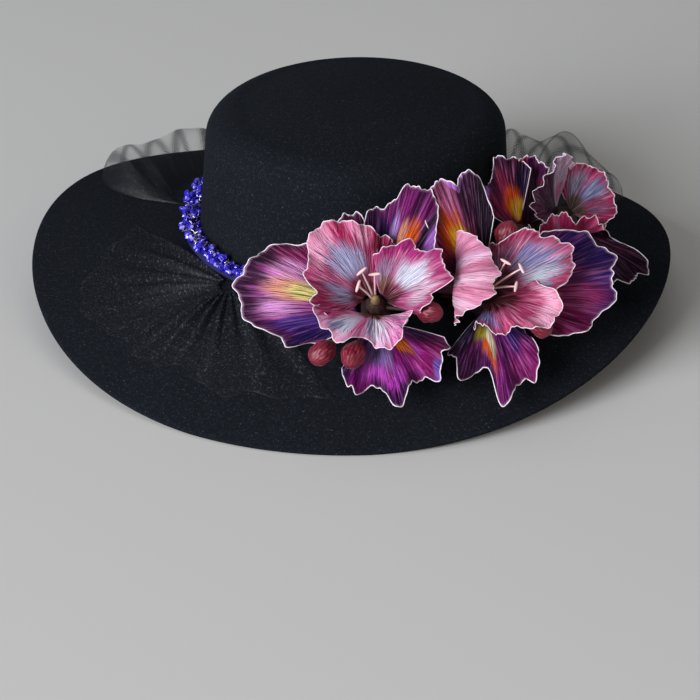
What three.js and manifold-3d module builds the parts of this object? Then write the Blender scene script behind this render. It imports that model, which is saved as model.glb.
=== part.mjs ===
// Bridal hat: a black felt hat with a flat crown and a wide saddle-shaped brim, trimmed with a
// spray of four blossoms, a vine of cut glass beads round the crown, and a drape and bow of tulle.
// Millimetres, +Z up. The hat rests on the front and the back of its brim, facing -Y.

import * as THREE from "three";
import Module from "manifold-3d";

const wasm = await Module();
wasm.setup();
const { Manifold, Mesh: SolidMesh } = wasm;

// Felt body
const feltThickness = 2.5;
const headWidth = 172;
const headLength = 194;
const crownHeight = 73.2; // up to the shoulder's upper end
const crownDome = 6; // rise of the top above that
const crownLean = 0.079; // how far the side leans in for each mm of height
const shoulderDrop = 15.2;
const shoulderWidth = 19.2;
const crownFlat = 14; // radius of the level spot on the crown's top
const breakRadius = 4; // fillet where the crown meets the brim
const brimWidth = 92.4; // measured down the slope, at the sides
const brimFrontExtra = 10; // wider by this in front, narrower by it behind
const brimCurl = 1.3; // power of the brim's fall along its width
const placePasses = 12; // enough for a place on the brim to settle
const brimFall = { mean: 20.1, saddle: 14.9, front: 9.7, ends: 2.7 };
const restFlat = 1; // felt pressed flat where the edge rests
const feltSides = 48;
const nudge = 1e-3; // step for the slopes of surfaces and curves

// Petals and trim
const gap = 0.3; // clearance between pieces that touch
const petalThickness = 1.2;
const petalClearance = 0.4; // kept between petals that pass each other
const netThickness = 1;
const petalRows = [0, 0.45, 0.8, 1];
const petalColumns = 10;
const drapeGrid = { rows: 4, columns: 18 };
const bowGrid = { rows: 5, columns: 8 };
const roundSides = { core: 5, knot: 10, calyx: 8, bud: 6, column: 6, filament: 4 };

const radians = (degrees) => (degrees * Math.PI) / 180;
const vector = (x, y, z) => new THREE.Vector3(x, y, z);
const mix = (from, to, share) => from + (to - from) * share;
const clamp = (value, low = 0, high = 1) => Math.min(Math.max(value, low), high);
const hump = (share) => Math.max(Math.sin(Math.PI * clamp(share)), 0);
const span = (count) => Array.from({ length: count + 1 }, (_, i) => i / count);
const acrossSheet = (count) => span(count).map((share) => share * 2 - 1);

// Rows of a table as objects, with the column names from its first line
function table(columns, rows) {
  return rows.map((row) => Object.fromEntries(columns.map((name, i) => [name, row[i]])));
}

// A closed solid from points and triangles, turned so that its faces point out
function solid(points, triangles) {
  const volume = triangles.reduce((sum, [i, j, k]) => {
    return sum + points[i].dot(vector().copy(points[j]).cross(points[k]));
  }, 0);
  const outward = volume > 0 ? triangles : triangles.map(([i, j, k]) => [i, k, j]);
  return new Manifold(
    new SolidMesh({
      numProp: 3,
      vertProperties: Float32Array.from(points.flatMap((p) => p.toArray())),
      triVerts: Uint32Array.from(outward.flat()),
    }),
  );
}

// Rings of points stitched one after the other, with a fan over the first and the last
function ringSolid(rings) {
  const sides = rings[0].length;
  const points = rings.flat();
  const triangles = [];
  for (let ring = 0; ring < rings.length - 1; ring++) {
    for (let i = 0; i < sides; i++) {
      const next = (i + 1) % sides;
      const [a, b] = [ring * sides + i, ring * sides + next];
      triangles.push([a, b, b + sides], [a, b + sides, a + sides]);
    }
  }
  for (const [ring, flip] of [[0, true], [rings.length - 1, false]]) {
    const middle = rings[ring].reduce((sum, p) => sum.add(p), vector(0, 0, 0));
    points.push(middle.divideScalar(sides));
    for (let i = 0; i < sides; i++) {
      const edge = [ring * sides + i, ring * sides + ((i + 1) % sides)];
      triangles.push([...(flip ? edge.reverse() : edge), points.length - 1]);
    }
  }
  return solid(points, triangles);
}

// A sheet of the given thickness about the surface at(u, v)
function sheetSolid(at, rows, columns, thickness) {
  const faces = [1, -1].map((side) =>
    rows.map((u) =>
      columns.map((v) => {
        const along = at(u + nudge, v).sub(at(u - nudge, v));
        const across = at(u, v + nudge).sub(at(u, v - nudge));
        const normal = along.cross(across).normalize();
        return at(u, v).addScaledVector(normal, (side * thickness) / 2);
      }),
    ),
  );
  const [high, wide] = [rows.length, columns.length];
  const index = (side, row, column) => (side * high + row) * wide + column;
  const triangles = [];
  const quad = (a, b, c, d) => triangles.push([a, b, c], [a, c, d]);
  for (let row = 0; row < high - 1; row++) {
    for (let column = 0; column < wide - 1; column++) {
      const corners = [[row, column], [row, column + 1], [row + 1, column + 1], [row + 1, column]];
      const [a, b, c, d] = corners.map((corner) => index(0, ...corner));
      const under = high * wide;
      quad(a, b, c, d);
      triangles.push([a + under, c + under, b + under], [a + under, d + under, c + under]);
    }
  }
  const rim = [];
  for (let column = 0; column < wide - 1; column++) rim.push([0, column]);
  for (let row = 0; row < high - 1; row++) rim.push([row, wide - 1]);
  for (let column = wide - 1; column > 0; column--) rim.push([high - 1, column]);
  for (let row = high - 1; row > 0; row--) rim.push([row, 0]);
  rim.forEach((corner, i) => {
    const next = rim[(i + 1) % rim.length];
    quad(index(0, ...next), index(0, ...corner), index(1, ...corner), index(1, ...next));
  });
  return solid(faces.flat(2), triangles);
}

// What is left of a solid when others are cut away, without the crumbs
function trimmed(body, cutters) {
  const near = cutters.filter((cutter) => body.intersect(cutter).volume() > 0);
  if (near.length === 0) return body;
  const pieces = near.reduce((rest, cutter) => rest.subtract(cutter), body).decompose();
  return pieces.reduce((best, piece) => (piece.volume() > best.volume() ? piece : best));
}

// The felt's upper surface. The angle goes round the crown, 0 at the right and -90 in front.

const crownHalfWidth = headWidth / 2 + feltThickness;
const crownHalfLength = headLength / 2 + feltThickness;
const sideHeight = crownHeight - shoulderDrop;
const topInset = crownLean * sideHeight + shoulderWidth;

function ellipse(angle, out, height) {
  const x = (crownHalfWidth + out) * Math.cos(angle);
  const y = (crownHalfLength + out) * Math.sin(angle);
  return vector(x, y, height);
}

function edgeFall(angle) {
  const { mean, saddle, front, ends } = brimFall;
  const fore = front * Math.sin(angle);
  return mean - saddle * Math.cos(2 * angle) - fore - ends * Math.cos(4 * angle);
}

function brimReach(angle) {
  const slant = brimWidth - brimFrontExtra * Math.sin(angle);
  return Math.sqrt(slant ** 2 - edgeFall(angle) ** 2);
}

const brimHeight = (angle, out) => -edgeFall(angle) * Math.max(out / brimReach(angle), 0) ** brimCurl;
const brimPoint = (angle, out, lift = 0) => ellipse(angle, out, brimHeight(angle, out) + lift);

function topPoint(angle, share) {
  const halfWidth = crownHalfWidth - topInset;
  const radius = mix(crownFlat / halfWidth, 1, share);
  const level = Math.max(radius, crownFlat / halfWidth);
  const height = crownHeight + crownDome * (1 - level ** 2);
  return ellipse(angle, -topInset, height).multiply(vector(radius, radius, 1));
}

function shoulderPoint(angle, share) {
  const turn = radians(90 * (1 - share));
  const out = -crownLean * sideHeight - shoulderWidth * (1 - Math.cos(turn));
  return ellipse(angle, out, sideHeight + shoulderDrop * Math.sin(turn));
}

function sidePoint(angle, share) {
  const height = mix(sideHeight, breakRadius, share);
  return ellipse(angle, -crownLean * height, height);
}

function breakPoint(angle, share) {
  const turn = radians(90 * share);
  const start = -crownLean * breakRadius;
  const out = mix(start, breakRadius, 1 - Math.cos(turn));
  return brimPoint(angle, out, breakRadius * (1 - Math.sin(turn)));
}

const flarePoint = (angle, share) => brimPoint(angle, mix(breakRadius, brimReach(angle), share));

// A point of the felt, zone by zone from the crown's top to the brim's edge, moved off the surface
const feltZones = [topPoint, shoulderPoint, sidePoint, breakPoint, flarePoint];

function feltPoint(place, angle, offset = 0) {
  const zone = Math.min(Math.floor(place), feltZones.length - 1);
  const at = feltZones[zone];
  const share = place - zone;
  const point = at(angle, share);
  const along = at(angle, share + nudge).sub(at(angle, share - nudge));
  const round = at(angle + nudge, share).sub(at(angle - nudge, share));
  return point.addScaledVector(along.cross(round).normalize(), offset);
}

const feltAngles = span(feltSides).slice(1).map((share) => share * 2 * Math.PI);
const upperPlaces = [0, 0.55, 1, 1.5, 2, 2.5, 3, 3.5, 4, 4.2, 4.6, 5];
const lowerPlaces = [5, 4.988, 4.6, 4.2, 4, 3, 2.5, 2, 1.5, 1, 0];

function feltSolid(swell = 0) {
  const upper = upperPlaces.map((place) => feltAngles.map((angle) => feltPoint(place, angle, swell)));
  const lower = lowerPlaces.map((place) =>
    feltAngles.map((angle) => settled(feltPoint(place, angle, -feltThickness))),
  );
  return ringSolid([...upper, ...lower]);
}

// The hat leans back a little, so that the front and the back of the edge touch the floor together
const frontAngle = radians(-90);
const backAngle = radians(90);
const frontReach = crownHalfLength + brimReach(frontAngle);
const backReach = crownHalfLength + brimReach(backAngle);
const leanBack = Math.atan2(edgeFall(frontAngle) - edgeFall(backAngle), frontReach + backReach);
const heightAtRest = (point) => point.z * Math.cos(leanBack) - point.y * Math.sin(leanBack);
const lowestCorner = feltPoint(5, frontAngle, -feltThickness);
const floorHeight = heightAtRest(lowestCorner) + restFlat;

function settled(point) {
  const below = Math.max(floorHeight - heightAtRest(point), 0);
  return point.setZ(point.z + below / Math.cos(leanBack));
}

// Bead vine: a wired core in the corner of crown and brim, with cut beads fused to it

const vine = { from: -112, to: -334, out: 6.5, lift: 5, coreWide: 4, coreHigh: 3.4, steps: 26 };
const bead = { count: 25, radius: 3.2, crown: 2.4, table: 0.55, sides: 8, sink: 0.3, margin: 0.01 };
const beadRoom = 1.5; // room kept round the core, in bead radii
const beadTilts = [15, 80, 45]; // how far up the beads look, in turn

function vineCentre(share) {
  const angle = radians(mix(vine.from, vine.to, share));
  return brimPoint(angle, vine.out, vine.lift);
}

function vineFrame(share) {
  const along = vineCentre(share + nudge).sub(vineCentre(share - nudge)).normalize();
  const out = vector(0, 0, 1).cross(along).negate().normalize();
  return { centre: vineCentre(share), along, out, up: vector().copy(along).cross(out).negate() };
}

function vineCore(swell = 0) {
  const rings = span(vine.steps).map((share) => {
    const { centre, out, up } = vineFrame(share);
    return span(roundSides.core).slice(1).map((part) => {
      const turn = part * 2 * Math.PI;
      return vector()
        .copy(centre)
        .addScaledVector(out, (vine.coreWide + swell) * Math.cos(turn))
        .addScaledVector(up, (vine.coreHigh + swell) * Math.sin(turn));
    });
  });
  return ringSolid(rings);
}

// A cut bead: a table and a crown of eight facets on a flat back that sinks into the core
function cutBead(centre, axis) {
  const turned = new THREE.Quaternion().setFromUnitVectors(vector(0, 0, 1), axis);
  const rings = [[bead.table * bead.radius, bead.crown], [bead.radius, 0]].map(([wide, high]) =>
    span(bead.sides).slice(1).map((part) => {
      const turn = part * 2 * Math.PI;
      const point = vector(wide * Math.cos(turn), wide * Math.sin(turn), high);
      return point.applyQuaternion(turned).add(centre);
    }),
  );
  return ringSolid(rings);
}

function vineSolid() {
  const beads = span(bead.count - 1).map((share, i) => {
    const { centre, out, up } = vineFrame(mix(bead.margin, 1 - bead.margin, share));
    const tilt = radians(beadTilts[i % beadTilts.length]);
    const axis = out.multiplyScalar(Math.cos(tilt)).addScaledVector(up, Math.sin(tilt));
    const reach = vine.coreHigh - bead.sink;
    return cutBead(centre.addScaledVector(axis, reach), axis);
  });
  return beads.reduce((whole, part) => whole.add(part), vineCore());
}

// Tulle: a drape gathered at one end of the beads and spread over the brim in low folds

const drape = { x: -50, y: -93, from: 138, to: 316, inner: 6, lift: 1.5 };
const drapeFold = { height: 2.6, count: 6, reach: 1.2, power: 0.7 };
const drapeReach = table(
  ["turn", "reach"],
  [[138, 98], [160, 84], [180, 89], [200, 72], [214, 66], [240, 60], [262, 61], [290, 79], [316, 98]],
);

// The value at a place between the rows of a table
function between(rows, key, place, value) {
  const above = rows.findIndex((row) => row[key] > place);
  const next = above < 0 ? rows.length - 1 : Math.max(above, 1);
  const [low, high] = [rows[next - 1], rows[next]];
  const share = clamp((place - low[key]) / (high[key] - low[key]));
  return mix(low[value], high[value], share);
}

// Where a point of the plan lies round the brim and how far it is out from the crown
function brimPlace(x, y) {
  let [angle, out] = [0, 0];
  for (let pass = 0; pass < placePasses; pass++) {
    angle = Math.atan2(y / (crownHalfLength + out), x / (crownHalfWidth + out));
    const [c, s] = [Math.cos(angle), Math.sin(angle)];
    out = x * c + y * s - crownHalfWidth * c * c - crownHalfLength * s * s;
  }
  return { angle, out };
}

function veilSolid(swell = 0) {
  const at = (u, v) => {
    const turn = mix(drape.from, drape.to, (v + 1) / 2);
    const reach = mix(drape.inner, between(drapeReach, "turn", turn, "reach"), u);
    const x = drape.x + reach * Math.cos(radians(turn));
    const y = drape.y + reach * Math.sin(radians(turn));
    const { angle, out } = brimPlace(x, y);
    const fold = drapeFold.height * hump(u * drapeFold.reach) ** drapeFold.power;
    const wave = 0.5 + 0.5 * Math.cos(drapeFold.count * 2 * Math.PI * v);
    return vector(x, y, brimHeight(angle, out) + drape.lift + fold * wave);
  };
  return sheetSolid(at, span(drapeGrid.rows), acrossSheet(drapeGrid.columns), netThickness + 2 * swell);
}

// Bow: two crumpled hoods of tulle that stand on the brim behind the crown, and the knot between
const bowLoops = table(
  ["name", "from", "to", "peakAngle", "peak", "inner", "outer", "peakAt"],
  [
    ["bow_left", 99, 178, 165, 19, 30, 80, 0.62],
    ["bow_right", 81, 18, 38, 31, 24, 86, 0.36],
  ],
);
const bowEnd = { inner: 14, outer: 22 }; // where the loops narrow to the knot
const bowPowers = { narrow: 0.5, rise: 1.2, arch: 0.55 }; // how fast a loop widens, rises and rounds
const crumple = { depth: 0.16, across: 9, along: 7 };
const bowKnot = { angle: 90, out: 20.5, lift: 6.5 };
const knotProfile = table(["at", "radius"], [[-12, 4.5], [-6.5, 8], [0, 6.8], [6.5, 8], [12, 4.5]]);

function bowSolid({ from, to, peakAngle, peak, inner, outer, peakAt }, swell = 0) {
  const at = (u, v) => {
    const angle = mix(from, to, (v + 1) / 2);
    const beyond = (angle - peakAngle) / (to - from) > 0 ? to : from;
    const fullness = hump(0.5 + 0.5 * ((angle - peakAngle) / (beyond - peakAngle)));
    const narrow = fullness ** bowPowers.narrow;
    const out = mix(mix(bowEnd.inner, inner, narrow), mix(bowEnd.outer, outer, narrow), u);
    const arch = hump(clamp(u) ** (Math.log(0.5) / Math.log(peakAt))) ** bowPowers.arch;
    const height = peak * fullness ** bowPowers.rise * arch;
    const folds = 1 + crumple.depth * Math.cos(crumple.across * v + crumple.along * u);
    return brimPoint(radians(angle), out, netThickness + height * folds);
  };
  return sheetSolid(at, span(bowGrid.rows), acrossSheet(bowGrid.columns), netThickness + 2 * swell);
}

function knotSolid(swell = 0) {
  const centre = brimPoint(radians(bowKnot.angle), bowKnot.out, bowKnot.lift);
  const wider = knotProfile.map(({ at, radius }) => ({ at, radius: radius + swell }));
  return turnedBody(centre, vector(1, 0, 0), roundSides.knot, wider);
}

// Blossoms. Each has an axis out of its throat, given by its turn from straight ahead and its rise.

const blossoms = table(
  ["name", "x", "y", "z", "turn", "rise", "stem"],
  [
    ["left", 39, -138, 20, 10, 40, 46],
    ["middle", 94, -114, 22, 15, 38, 46],
    ["right", 122, -28, 32, 5, 48, 52],
    ["back", 100, -46, 27, -5, 46, 44],
  ],
);

function blossomFrame(name) {
  const { x, y, z, turn, rise, stem } = blossoms.find((blossom) => blossom.name === name);
  const [ahead, high] = [radians(turn), radians(rise)];
  const flat = vector(Math.sin(ahead), -Math.cos(ahead), 0);
  const axis = flat.multiplyScalar(Math.cos(high)).add(vector(0, 0, Math.sin(high)));
  const up = vector(0, 0, 1).addScaledVector(axis, -axis.z).normalize();
  const right = vector().copy(up).cross(axis);
  return { centre: vector(x, y, z), axis, up, right, stem };
}

// Petals. The clock says where a petal points, seen from in front of its blossom. The open angles
// are off the axis at the root and at the tip, and the cups say how far each side curls up.
const petals = table(
  ["name", "blossom", "clock", "lift", "ring", "openRoot", "openTip", "length", "spread", "round",
    "cupLeft", "cupRight", "tuck", "ruffle", "waves", "phase"],
  [
    ["pink_left_1", "left", -40, -4, 5.6, 35, 82, 48, 72, 0.42, 25, 20, 3, 2.5, 2, 0],
    ["pink_left_2", "left", 53, -4, 5.6, 35, 75, 42, 60, 0.45, 22, 22, 3, 3, 3, 1],
    ["pink_left_3", "left", 190, -4, 5.6, 24, 75, 39, 74, 0.42, 42, 31, 3, 3, 3, 6.2],
    ["purple_left_1", "left", -84, -15, 8, 60, 92, 67, 50, 0.75, 20, 20, 0, 3, 3, 0],
    ["purple_left_2", "left", 161, -15, 8, 55, 84, 55, 51, 0.7, 15, 15, 0, 4, 3, 1],
    ["purple_left_3", "left", 18, -14, 8, 50, 70, 66, 28, 0.85, 15, 15, 0, 3, 2, 2],
    ["purple_left_4", "left", -21, -18, 8, 50, 74, 54, 40, 0.8, 15, 15, 0, 3, 2, 0],
    ["pink_middle_1", "middle", -84, -4, 5.6, 80, -100, 50, 50, 0.5, 10, 10, 0, 2, 2, 0],
    ["pink_middle_2", "middle", 60, -4, 5.6, 35, 80, 47, 60, 0.5, 22, 20, 3, 3, 3, 1],
    ["pink_middle_3", "middle", 150, -4, 5.6, 35, 68, 39, 72, 0.4, 20, 5, 3, 3, 3, 2],
    ["purple_middle_1", "middle", -30, -12, 8, 45, 68, 66, 32, 0.8, 25, 20, 0, 3, 2, 0],
    ["purple_middle_2", "middle", 173, -15, 8, 55, 84, 61, 45, 0.75, 15, 15, 0, 4, 3, 1],
    ["purple_middle_3", "middle", 88, -17, 8, 60, 92, 66, 46, 0.7, 15, 10, 0, 3, 2, 2],
    ["pink_right_1", "right", 54, -4, 5.6, 30, 72, 34, 66, 0.42, 20, 25, 3, 2.5, 3, 0],
    ["pink_right_2", "right", -65, -4, 5.6, 24, 2, 37.5, 60, 0.5, 5, 54, 3, 2, 2, 0.9],
    ["pink_right_3", "right", 179, -4, 5.6, 71, -58, 39, 50, 0.45, 24, 25, 3, 3, 3, 0.1],
    ["purple_right", "right", 136, -14, 8, 60, 94, 56, 32, 0.85, 15, 15, 0, 4, 2, 1],
    ["purple_back_1", "back", -34, -8, 7, 48, 66, 46, 34, 0.8, 20, 25, 0, 3, 2, 0],
    ["purple_back_2", "back", -9, -27, 7, 40, 50, 58, 18, 0.8, 15, 15, 0, 3, 2, 2],
  ],
);

const rootHalf = 2.6; // half the width of a petal's root
const cupReach = 0.8; // share of a petal's length over which its sides curl up by the cup angles

// How far the ragged edge of each petal reaches, as a share of the smooth outline, from side to side
const edgeShares = {
  pink_left_1: [0.8, 0.85, 0.86, 0.93, 0.99, 1.05, 0.97, 0.89, 0.83, 0.85, 0.85],
  pink_left_2: [0.66, 0.72, 0.79, 0.9, 0.89, 1.05, 1.05, 0.99, 0.81, 0.73, 0.67],
  pink_left_3: [0.92, 0.75, 0.78, 0.96, 0.88, 0.76, 0.97, 0.98, 1.07, 1.06, 0.75],
  purple_left_1: [0.53, 0.73, 0.85, 0.96, 1.01, 1.06, 1.01, 0.96, 0.86, 0.77, 0.75],
  purple_left_2: [0.94, 0.97, 0.92, 0.96, 0.82, 0.95, 0.93, 0.8, 0.96, 0.93, 0.78],
  purple_left_3: [0.64, 0.8, 0.81, 0.83, 0.94, 1.02, 1.03, 1.0, 0.9, 0.79, 0.72],
  purple_left_4: [0.85, 0.86, 0.87, 0.87, 0.89, 0.94, 0.92, 0.84, 0.85, 0.85, 0.85],
  pink_middle_1: [0.7, 0.73, 0.79, 0.97, 1.07, 1.09, 1.09, 1.04, 0.98, 0.92, 0.86],
  pink_middle_2: [0.61, 0.65, 0.65, 0.84, 0.88, 1.01, 1.06, 0.99, 0.86, 0.83, 0.8],
  pink_middle_3: [0.8, 0.84, 1.04, 1.15, 1.08, 0.86, 0.76, 0.65, 0.61, 0.65, 0.7],
  purple_middle_1: [0.51, 0.58, 0.67, 0.8, 0.9, 1.0, 0.99, 1.0, 1.04, 0.91, 0.72],
  purple_middle_2: [0.51, 0.61, 0.78, 0.89, 0.84, 1.0, 0.74, 0.71, 0.89, 0.77, 0.73],
  purple_middle_3: [0.83, 0.9, 0.99, 1.0, 1.02, 0.97, 0.98, 0.88, 0.85, 0.75, 0.57],
  pink_right_1: [0.85, 0.86, 0.88, 0.9, 0.92, 0.94, 0.94, 0.96, 1.03, 0.98, 0.91],
  pink_right_2: [0.41, 0.53, 0.67, 0.81, 0.93, 0.98, 1.03, 1.14, 1.17, 1.07, 0.75],
  pink_right_3: [0.97, 0.99, 1.0, 0.98, 0.93, 1.0, 0.93, 0.88, 0.84, 0.82, 0.8],
  purple_right: [0.41, 0.52, 0.92, 1.02, 0.95, 0.97, 0.89, 0.9, 0.88, 0.84, 0.8],
  purple_back_1: [0.48, 0.5, 0.6, 0.71, 0.71, 0.8, 0.97, 0.93, 0.94, 0.92, 0.9],
  purple_back_2: [0.93, 0.93, 0.93, 0.94, 0.94, 0.95, 0.98, 0.97, 0.96, 0.95, 0.95],
};

// A turned body along a blossom's axis or along a stalk, from radii at places along it
function turnedBody(start, direction, sides, profile) {
  const turned = new THREE.Quaternion().setFromUnitVectors(vector(0, 0, 1), direction);
  const rings = profile.map(({ at, radius }) =>
    span(sides).slice(1).map((part) => {
      const turn = part * 2 * Math.PI;
      const point = vector(radius * Math.cos(turn), radius * Math.sin(turn), at);
      return point.applyQuaternion(turned).add(start);
    }),
  );
  return ringSolid(rings);
}

// Calyx: the stem from the felt to the throat that a blossom's petals are fixed to
const stemRadius = 6;
const calyxProfile = table(
  ["at", "radius"],
  [[-22, 7.6], [-12, 7.6], [-8.5, 5.2], [-3, 5.2], [1, 2.4]],
);

function calyxSolid(name, swell = 0) {
  const { centre, axis, stem } = blossomFrame(name);
  const profile = [{ at: -stem, radius: stemRadius }, ...calyxProfile];
  const wider = profile.map(({ at, radius }) => ({ at, radius: radius + swell }));
  return turnedBody(centre, axis, roundSides.calyx, wider);
}

// Buds on short stalks between the petals
const stalk = { start: 4, radius: 1.1 };
const budShape = table(["at", "wide"], [[-1.8, 0], [-0.4, 1], [0.5, 0.7], [1, 0.2]]);
const buds = table(
  ["name", "blossom", "clock", "open", "lift", "reach", "radius"],
  [
    ["bud_left_1", "left", 223, 74, -6, 42, 6],
    ["bud_left_2", "left", 200, 72, -6, 34, 6],
    ["bud_left_3", "left", 100, 70, -7, 32, 5.5],
    ["bud_middle_1", "middle", 128, 72, -7, 36, 5.5],
    ["bud_middle_2", "middle", 20, 66, -7, 34, 6],
  ],
);

function budSolid({ blossom, clock, open, lift, reach, radius }, swell = 0) {
  const { centre, axis, up, right } = blossomFrame(blossom);
  const radial = vector()
    .addScaledVector(up, Math.cos(radians(clock)))
    .addScaledVector(right, Math.sin(radians(clock)));
  const direction = vector()
    .addScaledVector(axis, Math.cos(radians(open)))
    .addScaledVector(radial, Math.sin(radians(open)));
  const start = vector().copy(centre).addScaledVector(axis, lift);
  const profile = table(
    ["at", "radius"],
    [
      [stalk.start, stalk.radius],
      ...budShape.map((ring) => [reach + radius * ring.at, Math.max(radius * ring.wide, stalk.radius)]),
    ],
  );
  const wider = profile.map((ring) => ({ at: ring.at, radius: ring.radius + swell }));
  return turnedBody(start, direction, roundSides.bud, wider);
}

// Stamens: a column out of the throat with thin filaments that end in bars of anther
const stamenSets = table(
  ["name", "blossom", "clock", "open", "length"],
  [
    ["stamens_left", "left", -38, 22, 30],
    ["stamens_middle", "middle", 70, 30, 30],
  ],
);

const columnProfile = table(["at", "radius"], [[0, 2.2], [8, 1.8], [10, 0.8]]);
const filament = { start: 3, radius: 0.8, neck: 0.6, anther: 1.5, tip: 0.9, antherLength: 6 };
const filamentFan = [-35, 0, 35];

function stamenSolid({ blossom, clock, open, length }) {
  const { centre, axis, up, right } = blossomFrame(blossom);
  const start = vector().copy(centre).addScaledVector(axis, 1 + gap);
  const aim = (turn, tilt) =>
    vector()
      .addScaledVector(axis, Math.cos(radians(tilt)))
      .addScaledVector(up, Math.sin(radians(tilt)) * Math.cos(radians(turn)))
      .addScaledVector(right, Math.sin(radians(tilt)) * Math.sin(radians(turn)));
  const neckAt = length - filament.antherLength;
  const profile = table(
    ["at", "radius"],
    [
      [filament.start, filament.radius],
      [neckAt, filament.neck],
      [neckAt + filament.anther, filament.anther],
      [length, filament.tip],
    ],
  );
  return filamentFan.reduce((whole, fan) => {
    return whole.add(turnedBody(start, aim(clock + fan, open), roundSides.filament, profile));
  }, turnedBody(start, axis, roundSides.column, columnProfile));
}

// The middle surface of a petal, for u from its root to its edge and v from side to side
function petalSurface(petal, swell) {
  const { centre, axis, up, right } = blossomFrame(petal.blossom);
  const clock = radians(petal.clock);
  const radial = vector().addScaledVector(up, Math.cos(clock)).addScaledVector(right, Math.sin(clock));
  const sideways = vector().addScaledVector(up, -Math.sin(clock)).addScaledVector(right, Math.cos(clock));
  const root = vector().copy(centre).addScaledVector(axis, petal.lift).addScaledVector(radial, petal.ring);
  const spread = radians(petal.spread);
  const rootRadius = rootHalf / Math.sin(spread);
  const bend = radians(petal.openTip - petal.openRoot) / petal.length;
  const shares = edgeShares[petal.name].map((share, i) => ({ place: i, share }));
  return (u, v) => {
    const ragged = between(shares, "place", ((v + 1) / 2) * petalColumns, "share");
    const edge = petal.length * Math.cos(v * spread) ** petal.round * ragged;
    const radius = mix(rootRadius - swell, edge + swell, u);
    const forward = (radius - rootRadius) * Math.cos(v * spread);
    const lateral = radius * Math.sin(v * spread) + swell * v;
    const open = radians(petal.openRoot) + bend * forward;
    const outward = (Math.cos(radians(petal.openRoot)) - Math.cos(open)) / bend;
    const ahead = (Math.sin(open) - Math.sin(radians(petal.openRoot))) / bend;
    const curl = radians(v < 0 ? petal.cupLeft : petal.cupRight) / (cupReach * petal.length);
    const raise = (1 - Math.cos(curl * lateral)) / Math.abs(curl);
    const frill = petal.ruffle * u ** 2 * Math.sin(petal.waves * Math.PI * v + petal.phase);
    const off = raise + frill - petal.tuck * u * v;
    return vector()
      .copy(root)
      .addScaledVector(radial, outward - Math.cos(open) * off)
      .addScaledVector(axis, ahead + Math.sin(open) * off)
      .addScaledVector(sideways, Math.sin(curl * lateral) / curl);
  };
}

function petalSolid(petal, swell = 0, extra = 0) {
  const thickness = petalThickness + 2 * (swell + extra);
  return sheetSolid(petalSurface(petal, swell), petalRows, acrossSheet(petalColumns), thickness);
}

// The room that a petal keeps to itself, wider all round and on both of its faces
function petalRoom(petal) {
  const thicker = petalSolid(petal, 0, petalClearance);
  return petalSolid(petal).add(thicker).add(petalSolid(petal, petalClearance));
}

// Assembly
const hat = new THREE.Group();

function material(color, roughness, metalness = 0) {
  return new THREE.MeshStandardMaterial({ color, roughness, metalness });
}

const materials = {
  felt: material(0x14151a, 0.95),
  bead: material(0x1d2bb8, 0.15),
  pink: material(0xd76a9c, 0.7),
  purple: material(0x5b2070, 0.7),
  calyx: material(0x5a1626, 0.8),
  bud: material(0xa01c3c, 0.7),
  stamen: material(0xf0e8d8, 0.6),
  tulle: material(0x2a2c30, 0.9),
};

function addPiece(name, body, finish) {
  const { vertProperties, triVerts } = body.getMesh();
  const geometry = new THREE.BufferGeometry();
  geometry.setAttribute("position", new THREE.BufferAttribute(vertProperties, 3));
  geometry.setIndex(new THREE.BufferAttribute(triVerts, 1));
  geometry.computeVertexNormals();
  const mesh = new THREE.Mesh(geometry, finish);
  mesh.name = name;
  hat.add(mesh);
}

// Each piece is cut clear of the ones placed before it
const placed = [];

function place(name, body, room, finish) {
  addPiece(name, trimmed(body, placed), finish);
  placed.push(room);
}

place("felt_body", feltSolid(), feltSolid(gap), materials.felt);
place("bead_vine", vineSolid(), vineCore(bead.radius * beadRoom), materials.bead);
for (const { name } of blossoms) {
  place(`calyx_${name}`, calyxSolid(name), calyxSolid(name, gap), materials.calyx);
}
place("veil_drape", veilSolid(), veilSolid(gap), materials.tulle);
place("bow_knot", knotSolid(), knotSolid(gap), materials.tulle);
for (const loop of bowLoops) place(loop.name, bowSolid(loop), bowSolid(loop, gap), materials.tulle);
for (const petal of petals) {
  const finish = petal.name.startsWith("pink") ? materials.pink : materials.purple;
  place(petal.name, petalSolid(petal), petalRoom(petal), finish);
}
for (const bud of buds) place(bud.name, budSolid(bud), budSolid(bud, gap), materials.bud);
for (const set of stamenSets) place(set.name, stamenSolid(set), stamenSolid(set), materials.stamen);

hat.rotation.x = -leanBack;
const model = new THREE.Group();
model.add(hat);
model.updateMatrixWorld(true);
const bounds = new THREE.Box3().setFromObject(model, true);
model.position.set(-(bounds.min.x + bounds.max.x) / 2, -(bounds.min.y + bounds.max.y) / 2, -bounds.min.z);

export default model;
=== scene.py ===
import math

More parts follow.
